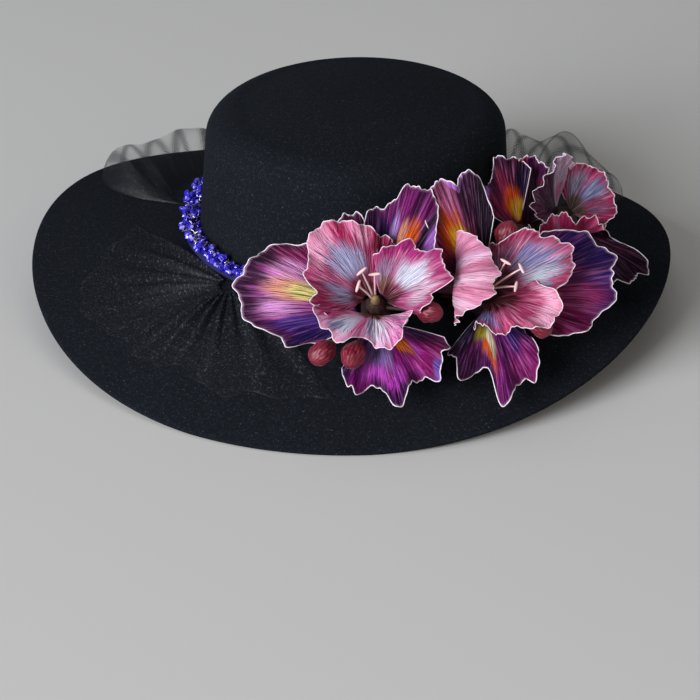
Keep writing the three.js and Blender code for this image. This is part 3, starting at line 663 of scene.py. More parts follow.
def petalSurface(petal):
    centre, axis, up, right = blossomFrame(petal["blossom"])
    radial, sideways = clockWays(up, right, petal["clock"])
    root = centre + axis * petal["lift"] + radial * petal["ring"]
    spread = math.radians(petal["spread"])
    rootRadius = petalMake["rootHalf"] / math.sin(spread)
    openRoot = math.radians(petal["openRoot"])
    bend = math.radians(petal["openTip"] - petal["openRoot"]) / petal["length"]
    kind = petalMake[familyOf(petal["name"])]
    own = ownNumber(petal["name"]) % 17
    places, reaches = np.array(edgeRows[petal["name"]]).reshape(-1, 2).T / 100
    # The edge is taken a little past both corners, so that it is smooth there too
    fine = np.linspace(-1.01, 1.01, 405)
    ragged = softened(np.interp(fine, places, reaches), petalMake["edgeRounds"])

    def at(u, v):
        u, v = np.broadcast_arrays(np.asarray(u, float), np.asarray(v, float))
        inward = 1 - v**6  # fades scallops and frills out at the petal's two corners
        # Scallops of two sizes nick the edge
        nicked = kind["scallops"] * v * math.pi / 2 + 2 * own + np.sin(5 * v)
        scallop = kind["scallop"] * (np.sin(nicked) + 0.6 * np.sin(2.3 * nicked + own))
        reach = np.interp(v, fine, ragged) + scallop * inward
        edge = petal["length"] * np.cos(v * spread) ** petal["round"] * reach
        radius = mix(rootRadius, edge, u)
        forward = (radius - rootRadius) * np.cos(v * spread)
        lateral = radius * np.sin(v * spread)
        opened = openRoot + bend * forward
        outward = (math.cos(openRoot) - np.cos(opened)) / bend
        forth = (np.sin(opened) - math.sin(openRoot)) / bend
        cup = np.radians(np.where(v < 0, petal["cupLeft"], petal["cupRight"]))
        curl = cup / (petalMake["cupReach"] * petal["length"])
        raised = (1 - np.cos(curl * lateral)) / curl
        # Ruffles as in the solids, frills at the very edge, and pleats that fan out from the root,
        # none of them quite even
        wave = petal["ruffle"] * u**2 * np.sin(petal["waves"] * math.pi * v + petal["phase"])
        gathered = kind["frills"] * math.pi * v + own + 1.5 * np.sin(4 * v + own)
        frill = kind["frill"] * u**5 * inward * np.sin(gathered)
        pressed = kind["pleats"] * turn * v + 2.2 * np.sin(3 * v + own) + 0.8 * u
        pleat = kind["pleat"] * u**1.3 * (0.6 + 0.4 * np.sin(5 * v + 2 * own)) * np.sin(pressed)
        off = raised + wave + frill + pleat - petal["tuck"] * u * v
        point = root + (outward - np.cos(opened) * off)[..., None] * radial
        point = point + (forth + np.sin(opened) * off)[..., None] * axis
        return point + (np.sin(curl * lateral) / curl)[..., None] * sideways

    return at


# What is printed on each petal, with painted light or shade where a note says so. A patch has a
# colour and then, in hundredths, its place along and across the petal, its half sizes there, how far
# streaks feather it, how soft its edge is, and how strong it is.
patchInputs = ("Along", "Across", "Half Along", "Half Across", "Feather", "Soft", "Strength")
petalPrint = {
    "purple_left_1": {"base": ("a82c90", "d468bc"), "back": "b060bc", "patches": [
        ("300a2c", 78, 90, 55, 28, 120, 40, 95),
        ("8c0c4c", 88, 50, 26, 30, 120, 40, 90),
        ("781c6c", 90, -12, 18, 45, 130, 40, 85),
        ("781c84", 80, -60, 24, 24, 120, 40, 85),
        ("f0a8e0", 68, 27, 18, 18, 140, 50, 80),
        ("e8a0e0", 70, -20, 18, 14, 140, 50, 85),
        ("5038a0", 56, -48, 34, 14, 90, 40, 95),
        ("2c2078", 50, -85, 50, 28, 80, 35, 95),
        ("f4a888", 57, 5, 20, 17, 70, 50, 100),
        ("fcec8c", 44, 6, 16, 14, 40, 45, 100),
        ("240822", 106, 10, 20, 110, 150, 50, 90),
    ]},
    "purple_left_2": {"base": ("6f0360", "a51891"), "back": "8939a5", "patches": [
        ("1d134a", 72, 85, 45, 22, 110, 40, 90),
        ("221857", 55, -90, 40, 30, 100, 40, 90),
        ("8a0a5a", 85, -62, 25, 30, 120, 40, 80),
        ("c74cca", 74, 38, 20, 18, 140, 45, 90),
        ("be3bbe", 84, 2, 18, 14, 130, 45, 85),
        ("867cbe", 46, 32, 20, 24, 110, 45, 90),
        ("330940", 106, 8, 20, 40, 80, 40, 95),
        ("9b432e", 34, -34, 22, 22, 80, 45, 90),
        ("ef7917", 42, -30, 12, 13, 80, 45, 95),
        ("8668d6", 98, -50, 10, 10, 40, 30, 80),
    ]},
    "purple_left_3": {"base": ("570151", "900e77"), "back": "9e61c6", "patches": [
        ("211a59", 52, -60, 36, 40, 90, 40, 95),
        ("2f073e", 80, -75, 30, 30, 110, 40, 80),
        ("1b0127", 80, 62, 42, 20, 100, 40, 95),
        ("be9feb", 60, -14, 15, 9, 90, 40, 90),
        ("f7a77f", 57, 8, 13, 10, 80, 40, 95),
        ("f36602", 60, 32, 14, 16, 90, 45, 100),
        ("bb75de", 92, 80, 20, 16, 40, 30, 100),
    ]},
    "purple_left_4": {"base": ("4c0039", "770e48"), "back": "8d3c94", "patches": [
        ("21001c", 80, 0, 30, 90, 80, 30, 60),
    ]},
    "purple_middle_1": {"base": ("5f0e3c", "9b2e52"), "back": "b877d6", "patches": [
        ("2d052d", 90, 45, 40, 35, 130, 40, 90),
        ("0f0519", 62, 85, 60, 28, 100, 35, 100),
        ("b9648c", 78, 10, 22, 16, 180, 45, 60),
        ("8a051e", 66, -40, 24, 26, 110, 40, 80),
        ("191e5d", 28, -60, 26, 40, 70, 40, 100),
        ("ef6200", 55, -14, 20, 30, 110, 45, 100),
        ("f7c506", 42, 0, 16, 30, 60, 45, 90),
        ("b5ab24", 30, 12, 14, 30, 40, 40, 90),
        ("c47de7", 98, -42, 12, 34, 25, 20, 100),
        ("c983e3", 100, 30, 7, 14, 30, 20, 90),
    ]},
    "purple_middle_2": {"base": ("5c0e5f", "8e2278"), "back": "8939a5", "patches": [
        ("0e1631", 50, 90, 60, 36, 80, 40, 100),
        ("201b6b", 52, -62, 40, 36, 100, 40, 95),
        ("8e1363", 84, -45, 22, 30, 130, 40, 80),
        ("4c124e", 84, 40, 25, 35, 120, 40, 80),
        ("ef670d", 57, 19, 20, 13, 100, 45, 100),
        ("cebf2d", 30, 36, 20, 22, 60, 40, 95),
        ("fff5cd", 41, 14, 14, 11, 60, 45, 100),
    ]},
    "purple_middle_3": {"base": ("57063d", "8a145a"), "back": "682c84", "patches": [
        ("4e0535", 70, -90, 50, 20, 90, 40, 80),
        ("20166b", 95, -42, 34, 42, 110, 45, 90),
        ("271263", 105, 20, 18, 50, 90, 40, 80),
        ("901359", 80, 62, 30, 30, 130, 45, 80),
        ("a53673", 68, 15, 25, 18, 150, 50, 60),
        ("ce692d", 46, 10, 8, 6, 70, 45, 80),
    ]},
    "purple_right": {"base": ("2b0321", "450a30"), "back": "5d205d", "patches": [
        ("1d0118", 95, 0, 30, 90, 100, 30, 70),
    ]},
    "purple_back_1": {"base": ("5f0432", "901840"), "back": "b877d6", "patches": [
        ("180931", 78, 85, 50, 28, 100, 40, 100),
        ("36082c", 102, 10, 20, 60, 110, 40, 80),
        ("e75000", 36, 30, 20, 42, 100, 45, 100),
        ("efb308", 22, 75, 18, 55, 50, 40, 100),
        ("bf7de7", 95, -50, 14, 22, 30, 25, 95),
    ]},
    "purple_back_2": {"base": ("a10532", "ce234b"), "back": "8e1d59", "patches": [
        ("4c1057", 93, 70, 16, 50, 110, 40, 90),
        ("5d0020", 95, -70, 30, 40, 100, 40, 80),
        ("6f4c65", 50, 40, 30, 80, 80, 40, 95),
        ("a5879b", 55, 30, 20, 40, 120, 50, 70),
    ]},
    "pink_left_1": {"base": ("91134e", "c75284"), "back": "ef9fc7", "patches": [
        ("f7b6d4", 90, -12, 16, 22, 130, 50, 70),
        ("f7accf", 92, 30, 16, 12, 130, 50, 70),
        ("ad0753", 80, 12, 22, 10, 140, 45, 90),
        ("9d013d", 86, 52, 20, 10, 140, 45, 80),
        ("a4aed6", 52, 0, 22, 24, 130, 50, 90),
        ("a2a2ca", 42, -58, 24, 28, 130, 50, 85),
        ("ad1653", 70, -85, 30, 18, 120, 45, 80),
        ("670a21", 10, 0, 20, 120, 90, 40, 100),
    ]},
    "pink_left_2": {"base": ("9f1860", "d7619e"), "back": "ef9fc7", "patches": [
        ("b51e83", 94, -20, 13, 36, 140, 45, 90),
        ("c64389", 90, 50, 14, 50, 130, 45, 80),
        ("e6ebff", 56, 0, 22, 30, 140, 50, 95),
        ("f7d9ed", 66, 45, 20, 20, 150, 50, 80),
        ("ab92b5", 45, -60, 28, 28, 140, 50, 85),
        ("886542", 20, -45, 20, 40, 100, 40, 90),
        ("6d1524", 10, 30, 20, 80, 100, 40, 100),
    ]},
    "pink_left_3": {"base": ("de70b1", "fbbfe2"), "back": "f7b6d9", "patches": [
        ("e1ebff", 60, 42, 30, 20, 120, 50, 95),
        ("f0f0ff", 60, -15, 35, 20, 120, 50, 95),
        ("de4d93", 60, 16, 35, 6, 100, 50, 90),
        ("8888b5", 55, -2, 40, 5, 100, 50, 90),
        # This grey-blue patch is painted shadow on the pale wash
        ("627bad", 78, 48, 16, 10, 120, 50, 80),
        ("ef8fcc", 80, -50, 25, 25, 140, 50, 80),
        ("c63475", 70, 80, 30, 16, 120, 50, 90),
        ("6d3324", 8, 0, 16, 120, 90, 40, 100),
    ]},
    "pink_middle_1": {"base": ("ac255b", "df74a5"), "back": "f0a8c8", "patches": [
        ("fce4f0", 60, -42, 45, 9, 130, 40, 100),
        ("b81c54", 65, -22, 45, 8, 130, 40, 100),
        ("fcdcec", 60, -2, 45, 8, 130, 40, 95),
        ("b42058", 60, 16, 45, 7, 130, 40, 95),
        ("e4d4ec", 55, 32, 45, 8, 130, 40, 90),
        ("a83468", 60, 52, 45, 10, 130, 40, 90),
    ]},
    "pink_middle_2": {"base": ("971c46", "c95586"), "back": "e8a0c4", "patches": [
        ("a0a8cc", 58, 10, 26, 40, 160, 50, 85),
        ("dce4f4", 56, 30, 20, 12, 160, 50, 85),
        ("7878b0", 66, -10, 20, 20, 160, 50, 70),
        ("a06c98", 50, -65, 30, 25, 140, 50, 80),
        ("641c38", 12, 0, 20, 120, 90, 40, 100),
    ]},
    "pink_middle_3": {"base": ("9f184d", "d35789"), "back": "ef9fc7", "patches": [
        ("8c91d2", 60, 50, 28, 30, 150, 50, 95),
        ("be4577", 60, -20, 30, 30, 150, 50, 70),
        ("fbc4dd", 90, -45, 14, 30, 140, 50, 80),
        ("6d091a", 18, 20, 24, 120, 100, 40, 100),
    ]},
    "pink_right_1": {"base": ("87093c", "bc2f6a"), "back": "ef9fc7", "patches": [
        ("6785ad", 60, 10, 26, 40, 170, 50, 85),
        ("8c8ca5", 50, -50, 30, 20, 160, 50, 80),
        ("a11e4b", 55, 35, 30, 12, 160, 50, 70),
        ("4c4e3a", 12, 0, 20, 120, 90, 40, 90),
    ]},
    "pink_right_2": {"base": ("442c50", "7c587c"), "back": "f0b4dc", "patches": [
        ("5c3c60", -20, -10, 90, 40, 140, 50, 80),
        ("a05880", 75, -50, 30, 35, 140, 50, 80),
        # This near-white strip is painted light, pale enough to look lit on a face the lamps barely reach
        ("ffe4ff", 60, 78, 90, 42, 40, 12, 100),
        ("ff70c8", 30, 72, 20, 20, 100, 40, 70),
    ]},
    "pink_right_3": {"base": ("8e0038", "c3266a"), "back": "be2763", "patches": [
        ("ef94bd", 75, 12, 30, 8, 100, 50, 80),
        ("e76ea0", 85, -70, 30, 20, 130, 50, 80),
    ]},
}


def patchGroup():
    group = bpy.data.node_groups.new("printed patch", "ShaderNodeTree")
    for name in ("Under", "Colour"):
        group.interface.new_socket(name, in_out="INPUT", socket_type="NodeSocketColor")
    for name in ("Streak", *patchInputs):
        group.interface.new_socket(name, in_out="INPUT", socket_type="NodeSocketFloat")
    group.interface.new_socket("Printed", in_out="OUTPUT", socket_type="NodeSocketColor")
    given = group.nodes.new("NodeGroupInput").outputs
    away = []
    for name in ("Along", "Across"):
        here = addNode(group, "Attribute", {}, "Fac", attribute_name=name.lower())
        off = addNode(group, "Math", {0: here, 1: given[name]}, operation="SUBTRACT")
        share = addNode(group, "Math", {0: off, 1: given["Half " + name]}, operation="DIVIDE")
        away.append(addNode(group, "Math", {0: share, 1: 2.0}, operation="POWER"))
    distance = addNode(group, "Math", {0: away[0], 1: away[1]}, operation="ADD")
    distance = addNode(group, "Math", {0: distance}, operation="SQRT")
    swing = addNode(group, "Math", {0: given["Streak"], 1: 0.5}, operation="SUBTRACT")
    feathered = {0: swing, 1: given["Feather"], 2: distance}
    distance = addNode(group, "Math", feathered, operation="MULTIPLY_ADD")
    near = addNode(group, "Math", {0: 1.0, 1: given["Soft"]}, operation="SUBTRACT")
    far = addNode(group, "Math", {0: 1.0, 1: given["Soft"]}, operation="ADD")
    edge = {0: distance, 1: near, 2: far, 3: given["Strength"], 4: 0.0}
    inside = addNode(group, "MapRange", edge, interpolation_type="SMOOTHSTEP")
    dyed = addNode(group, "Mix", {0: inside, 6: given["Under"], 7: given["Colour"]}, 2, data_type="RGBA")
    group.links.new(dyed, group.nodes.new("NodeGroupOutput").inputs[0])
    return group


# The layers of the grain: how often each repeats across and along a petal, and its detail
grainLayers = {"broad": ((7, 1.3, 1), 2.0), "fine": ((42, 3.2, 1), 3.0), "bend": ((4, 3, 1), 1.0)}


# The grain of the cloth fans out from the root: broad and fine streaks, and veins that fork
def grainGroup():
    group = bpy.data.node_groups.new("fanned grain", "ShaderNodeTree")
    for name in ("Seed", "Veins"):
        group.interface.new_socket(name, in_out="INPUT", socket_type="NodeSocketFloat")
    for name in ("Broad", "Fine", "Streak", "Vein", "Relief"):
        group.interface.new_socket(name, in_out="OUTPUT", socket_type="NodeSocketFloat")
    given = group.nodes.new("NodeGroupInput").outputs
    along, across = (
        addNode(group, "Attribute", {}, "Fac", attribute_name=name) for name in ("along", "across")
    )
    place = addNode(group, "CombineXYZ", {0: across, 1: along, 2: given["Seed"]})
    layers = {}
    for name, (scale, detail) in grainLayers.items():
        stretched = addNode(group, "VectorMath", {0: place, 1: scale}, operation="MULTIPLY")
        layers[name] = addNode(group, "TexNoise", {"Vector": stretched, "Scale": 1.0, "Detail": detail})
    streak = addNode(group, "Mix", {0: 0.55, 2: layers["broad"], 3: layers["fine"]})
    streak = addNode(group, "MapRange", {0: streak, 1: 0.32, 2: 0.68})
    bent = addNode(group, "Math", {0: layers["bend"], 1: 0.16, 2: across}, operation="MULTIPLY_ADD")
    veins = []
    for forks, start in ((1, 0.0), (2, 0.45)):
        count = addNode(group, "Math", {0: given["Veins"], 1: forks}, operation="MULTIPLY")
        counted = addNode(group, "Math", {0: bent, 1: count}, operation="MULTIPLY")
        wave = addNode(group, "Math", {0: counted, 1: 0.5}, operation="PINGPONG")
        line = addNode(group, "MapRange", {0: wave, 1: 0.0, 2: 0.12, 3: 1.0, 4: 0.0})
        grown = addNode(group, "MapRange", {0: along, 1: start, 2: start + 0.15})
        veins.append(addNode(group, "Math", {0: line, 1: grown}, operation="MULTIPLY"))
    vein = addNode(group, "Math", {0: veins[0], 1: veins[1]}, operation="MAXIMUM")
    patchy = addNode(group, "MapRange", {0: layers["fine"], 1: 0.35, 2: 0.55, 3: 1.0, 4: 0.35})
    vein = addNode(group, "Math", {0: vein, 1: patchy}, operation="MULTIPLY")
    fading = addNode(group, "MapRange", {0: along, 1: 0.7, 2: 1.0, 3: 1.0, 4: 0.3})
    vein = addNode(group, "Math", {0: vein, 1: fading}, operation="MULTIPLY")
    relief = addNode(group, "Math", {0: vein, 1: -0.6, 2: layers["fine"]}, operation="MULTIPLY_ADD")
    result = group.nodes.new("NodeGroupOutput")
    feed(group, result, {0: layers["broad"], 1: layers["fine"], 2: streak, 3: vein, 4: relief})
    return group


printedPatch, fannedGrain = patchGroup(), grainGroup()
# In each dye, light and dark are partly printed streaks and partly painted highlight and shade of the pressed
# grain, and margin is partly a deeper print and partly painted shade of the ruffled edge
petalDye = {
    "seedStep": 0.37, "rimShare": 0.5, "backShare": 0.5,
    "pink": {
        "veins": 22, "vein": ("7c1440", 0.9), "light": ("fae8f4", 0.36), "dark": ("6c1444", 0.62),
        "margin": ("b83078", 0.6), "rim": "f4c4dc", "slot": "pink_petals",
    },
    "purple": {
        "veins": 18, "vein": ("240828", 0.7), "light": ("e8a0e0", 0.3), "dark": ("180618", 0.75),
        "margin": ("5a2450", 0.75), "rim": "d8a8d0", "slot": "purple_petals",
    },
}


# Rayon petal cloth, printed in streaks from the root, stiffened and pressed into veins by hand:
# nearly matt, its patches feathered along the weave, with veins darker than the print, and painted
# highlight and shade along its pressed grain and at its ruffled edge
def petalCloth(name):
    look, dye = petalPrint[name], petalDye[familyOf(name)]
    material, tree, shader = newMaterial("printed petal cloth " + name.replace("_", " "))
    inputs = {"Seed": ownNumber(name) * petalDye["seedStep"], "Veins": float(dye["veins"])}
    grain = addNode(tree, "Group", inputs, node_tree=fannedGrain)
    broad, fine, streak, vein, relief = grain.node.outputs
    share = addNode(tree, "MapRange", {0: broad, 1: 0.38, 2: 0.62})
    colour = addNode(tree, "Mix", {0: share, 6: look["base"][0], 7: look["base"][1]}, 2, data_type="RGBA")
    for dyed, *measures in look["patches"]:
        patch = {key: measure / 100 for key, measure in zip(patchInputs, measures)}
        patch.update({"Under": colour, "Colour": dyed, "Streak": streak})
        colour = addNode(tree, "Group", patch, node_tree=printedPatch)
    along, outside = (
        addNode(tree, "Attribute", {}, "Fac", attribute_name=key) for key in ("along", "outside")
    )
    # Light and dark streaks follow the fine grain that also raises the bumps: partly printed streaks, partly
    # painted highlight on the ridges and painted shade in the grooves
    light = addNode(tree, "MapRange", {0: fine, 1: 0.52, 2: 0.7, 3: 0.0, 4: dye["light"][1]})
    dark = addNode(tree, "MapRange", {0: fine, 1: 0.48, 2: 0.3, 3: 0.0, 4: dye["dark"][1]})
    veined = addNode(tree, "Math", {0: vein, 1: dye["vein"][1]}, operation="MULTIPLY")
    # Darker towards the rim: partly a deeper print, partly painted shade of the ruffled margin
    margin = addNode(tree, "MapRange", {0: along, 1: 0.78, 2: 0.98, 3: 0.0, 4: dye["margin"][1]})
    margin = addNode(tree, "Math", {0: margin, 1: streak}, operation="MULTIPLY")
    rim = addNode(tree, "MapRange", {0: along, 1: 0.975, 2: 1.0, 3: 0.0, 4: petalDye["rimShare"]})
    back = addNode(tree, "Math", {0: outside, 1: petalDye["backShare"]}, operation="MULTIPLY")
    layers = (
        (light, dye["light"][0], "SCREEN"),
        (dark, dye["dark"][0], "MULTIPLY"),
        (veined, dye["vein"][0], "MIX"),
        (margin, dye["margin"][0], "MULTIPLY"),
        (rim, dye["rim"], "MIX"),
        (back, look["back"], "MIX"),
    )
    for share, dyed, blend in layers:
        colour = addNode(tree, "Mix", {0: share, 6: colour, 7: dyed}, 2, data_type="RGBA", blend_type=blend)
    feed(tree, shader, {
        "Base Color": colour, "Roughness": 0.5, "Specular IOR Level": 0.16,
        "Sheen Weight": 0.03, "Sheen Roughness": 0.4, "Sheen Tint": "f0e0f0",
        "Normal": addNode(tree, "Bump", {"Height": relief, "Distance": 0.0018, "Strength": 0.9}),
    })
    return material


# Silk-wrapped florist's wire, glued round each petal: a matt off-white thread
silkWire = mottled("silk wrapped wire", ("efdde8", "ffffff"), 260.0, Roughness=0.6)


def makePetal(petal):
    at = petalSurface(petal)
    piece = Piece()
    # The rows and columns of the grid lie closer together towards the edges
    ease = petalMake["columnEase"]
    u = 1 - (1 - np.linspace(0, 1, petalMake["rows"])) ** petalMake["rowEase"]
    v = np.sin(np.linspace(-1, 1, petalMake["columns"]) * math.pi / 2 * ease) / math.sin(math.pi / 2 * ease)
    uu, vv = np.meshgrid(u, v, indexing="ij")
    thickness = petalMake["thickness"] * (1 - petalMake["thinning"] * uu)
    addSheet(piece, at, u, v, thickness, along=uu, across=vv)
    # The back of the petal is the first half of the sheet's points
    piece.values["outside"] = [(0, np.ones(uu.size))]
    # The wire runs up one side of the petal, round its edge and down the other side
    sides = np.linspace(petalMake["rimFrom"], 1, petalMake["rimSide"])[:-1]
    edge = np.linspace(-1, 1, petalMake["rimAcross"])
    ring = [*((s, -1.0) for s in sides), *((1.0, w) for w in edge), *((s, 1.0) for s in sides[::-1])]
    name, family = petal["name"], familyOf(petal["name"])
    addTube(piece, at(*np.array(ring).T), petalMake[family]["rim"], 6, 1)
    piece.make("petal_" + name, [petalCloth(name), silkWire], [name])


for petal in petals:
    makePetal(petal)
print("petals")


# Calyx: the stem, and the tube that the petals are glued to, wound with floral tape
calyx = {"stemRadius": 6, "stemTo": -23, "steps": 60, "sides": 32, "ribs": 8, "rib": 0.05}
calyxProfile = [(-22, 7.6), (-17, 8.0), (-12, 7.6), (-8.5, 5.2), (-3, 5.2), (0, 3.4), (1, 2.4)]

# Waxed floral tape, wound by hand: a dark, stained brown with low uneven ridges
tape = mottled(
    "waxed floral tape", ("1c080a", "3c2416"), 130.0, 4.0, (0.0005, 0.6), (420.0, 3.0), Roughness=0.7
)


# Rings about a line, ribbed and dented, from pairs of a place along it and a radius
def turnedRings(start, direction, profile, sides, ribs=0, rib=0.0, crumple=0.0):
    side = unit(np.cross(direction, np.array([0.31, 0.17, 0.94])))
    other = np.cross(direction, side)
    around = np.arange(sides) / sides * turn
    circle = side * np.cos(around)[:, None] + other * np.sin(around)[:, None]
    rings = []
    for at, radius in profile:
        dents = np.sin(2 * around + 0.45 * at) + 0.6 * np.sin(5 * around - 0.8 * at)
        dents = dents + 0.4 * np.sin(9 * around + at)
        swell = 1 + rib * np.cos(ribs * around) + crumple * dents
        rings.append(start + direction * at + circle * radius * swell[:, None])
    return np.array(rings)


def eased(profile, count):
    at, radius = np.array(profile, float).T
    along = np.linspace(at[0], at[-1], count)
    return list(zip(along, softened(np.interp(along, at, radius), 2)))


for name in blossoms:
    centre, axis = blossomFrame(name)[:2]
    stem = [(at, calyx["stemRadius"]) for at in (-blossoms[name]["stem"], calyx["stemTo"])]
    profile = eased([*stem, *calyxProfile], calyx["steps"])
    piece = Piece()
    addLoft(piece, turnedRings(centre, axis, profile, calyx["sides"], calyx["ribs"], calyx["rib"]))
    piece.make("stem_" + name, [tape], ["calyx_" + name])
print("calyxes")


# Buds, as in the solids
budColumns = "name blossom clock open lift reach radius".split()
budRows = [
    ("bud_left_1", "left", 223, 74, -6, 42, 6),
    ("bud_left_2", "left", 200, 72, -6, 34, 6),
    ("bud_left_3", "left", 100, 70, -7, 32, 5.5),
    ("bud_middle_1", "middle", 128, 72, -7, 36, 5.5),
    ("bud_middle_2", "middle", 20, 66, -7, 34, 6),
]
budShape = [
    (-1.8, 0.18), (-1.5, 0.45), (-1.1, 0.8), (-0.6, 1.0), (0.0, 1.02), (0.45, 0.85), (0.8, 0.55), (1.0, 0.15),
]
budMake = {
    "sides": 80, "ribs": 20, "rib": 0.012, "crumple": 0.07, "steps": 40,
    "neck": 1.9, "stalk": 1.1, "stalkFrom": 4, "stalkTo": 1.7,
}


# Silk satin rolled into buds: dark crimson and dented, darker between the rolls, with broken pale
# lines along the crests of the rolls
def budSilk():
    material, tree, shader = newMaterial("rolled silk satin")
    rib = addNode(tree, "Attribute", {}, "Fac", attribute_name="rib")
    place = addNode(tree, "TexCoord", {}, "Object")
    lineBreaks = addNode(tree, "TexNoise", {"Vector": place, "Scale": 520.0})
    tone = addNode(tree, "Mix", {0: rib, 6: "58081c", 7: "8a1230"}, 2, data_type="RGBA")
    crest = addNode(tree, "MapRange", {0: rib, 1: 0.86, 2: 1.0})
    broken = addNode(tree, "MapRange", {0: lineBreaks, 1: 0.45, 2: 0.65, 3: 0.0, 4: 0.45})
    line = addNode(tree, "Math", {0: crest, 1: broken}, operation="MULTIPLY")
    tone = addNode(tree, "Mix", {0: line, 6: tone, 7: "f0b0bc"}, 2, data_type="RGBA")
    feed(tree, shader, {
        "Base Color": tone, "Roughness": 0.45, "Sheen Weight": 0.15, "Sheen Roughness": 0.4,
    })
    return material


satin = budSilk()
for row in budRows:
    bud = dict(zip(budColumns, row))
    centre, axis, up, right = blossomFrame(bud["blossom"])
    opened = math.radians(bud["open"])
    radial = clockWays(up, right, bud["clock"])[0]
    direction = axis * math.cos(opened) + radial * math.sin(opened)
    start = centre + axis * bud["lift"]
    piece = Piece()
    sides, ribs = budMake["sides"], budMake["ribs"]
    profile = [(bud["reach"] + at * bud["radius"], radius * bud["radius"]) for at, radius in budShape]
    neck = (bud["reach"] - budMake["neck"] * bud["radius"], budMake["stalk"])
    profile = eased([neck, *profile], budMake["steps"])
    around = np.arange(sides) / sides * turn
    rib = np.tile(0.5 + 0.5 * np.cos(ribs * around), len(profile))
    rings = turnedRings(start, direction, profile, sides, ribs, budMake["rib"], budMake["crumple"])
    addLoft(piece, rings, 0, rib=rib)
    stalkEnd = bud["reach"] - budMake["stalkTo"] * bud["radius"]
    stalk = [start + direction * at for at in np.linspace(budMake["stalkFrom"], stalkEnd, 6)]
    addTube(piece, stalk, budMake["stalk"], 8, 1)
    piece.make(bud["name"] + "_silk", [satin, tape], [bud["name"]])
print("buds")


# Stamens: stiffened thread with bars of anther on an olive tube
stamens = [
    {"name": "stamens_left", "blossom": "left", "clock": -38, "open": 22, "length": 30},
    {"name": "stamens_middle", "blossom": "middle", "clock": 70, "open": 30, "length": 30},
]
stamenMake = {
    "lift": 1.3, "tube": [(0, 2.2), (4, 2.3), (7.5, 2.0), (9.5, 1.4), (10, 0.8)],
    "fan": (-35, 0, 35), "beside": 0.8, "bow": 8, "thread": (0.65, 0.4), "steps": 10,
    "antherHalf": 3.2, "anther": 0.7, "antherEnd": 0.15,
}
# Cotton thread, stiffened with starch: pale pink and nearly matt
thread = mottled("starched cotton thread", ("e0a8a8", "f6dcd4"), 300.0, Roughness=0.55)
# Cotton tube, dyed by hand: olive brown with stains
tube = mottled("dyed cotton tube", ("6a5430", "a08c5c"), 200.0, 3.0, Roughness=0.6)

for stamen in stamens:
    centre, axis, up, right = blossomFrame(stamen["blossom"])
    start = centre + axis * stamenMake["lift"]
    opened = math.radians(stamen["open"])
    piece = Piece()
    addLoft(piece, turnedRings(start, axis, stamenMake["tube"], 20), 1)
    for fan in stamenMake["fan"]:
        radial, sideways = clockWays(up, right, stamen["clock"] + fan)
        aim = axis * math.cos(opened) + radial * math.sin(opened)
        length = stamen["length"] * (1 if fan == 0 else stamenMake["beside"])
        path = []
        for t in np.linspace(0.1, 1, stamenMake["steps"]):
            bowed = axis * stamenMake["bow"] * math.sin(t * math.pi / 2) * (1 - t)
            path.append(start + bowed + aim * length * t)
        addTube(piece, path, np.linspace(*stamenMake["thread"], stamenMake["steps"]), 8, 0)
        # The anther lies across the tip, and is swollen in the middle
        bar = unit(sideways + 0.3 * axis) * stamenMake["antherHalf"]
        ends = [start + aim * length + bar * share for share in np.linspace(-1, 1, 9)]
        swell = np.sqrt(np.clip(1 - np.linspace(-0.96, 0.96, 9) ** 2, 0.05, 1))
        addTube(piece, ends, stamenMake["anther"] * swell + stamenMake["antherEnd"], 8, 0)
    piece.make(stamen["name"] + "_thread", [thread, tube], [stamen["name"]])
print("stamens")


# Tulle: a drape gathered at the end of the beads and spread over the brim, and a bow behind
drape = {"x": -50, "y": -93, "from": 138, "to": 316, "inner": 6, "lift": 1.6, "height": 2.6, "folds": 6}
drapeReach = [
    (138, 98), (160, 84), (180, 89), (200, 72), (214, 66), (240, 60), (262, 61), (290, 79), (316, 98),
]
tulle = {"thickness": 0.3, "hole": 1.6, "threadFrom": 0.1, "threadTo": 0.28}
# The light tone of each net is the colour of its painted sparkle
drapeLook = {"dark": "191b20", "light": "5c626c", "haze": 0.04, "least": 0.06, "most": 0.8}
bowLook = {"dark": "222428", "light": "4c5056", "haze": 0.13, "least": 0.08, "most": 0.6}


# Where on the brim a place seen from above lies: its turn about the crown, and how far out it is
def brimPlace(x, y):
    angle, out = np.zeros_like(x), np.zeros_like(x)
    for _ in range(12):
        angle = np.arctan2(y / (halfLength + out), x / (halfWidth + out))
        c, s = np.cos(angle), np.sin(angle)
        out = x * c + y * s - halfWidth * c * c - halfLength * s * s
    return angle, out


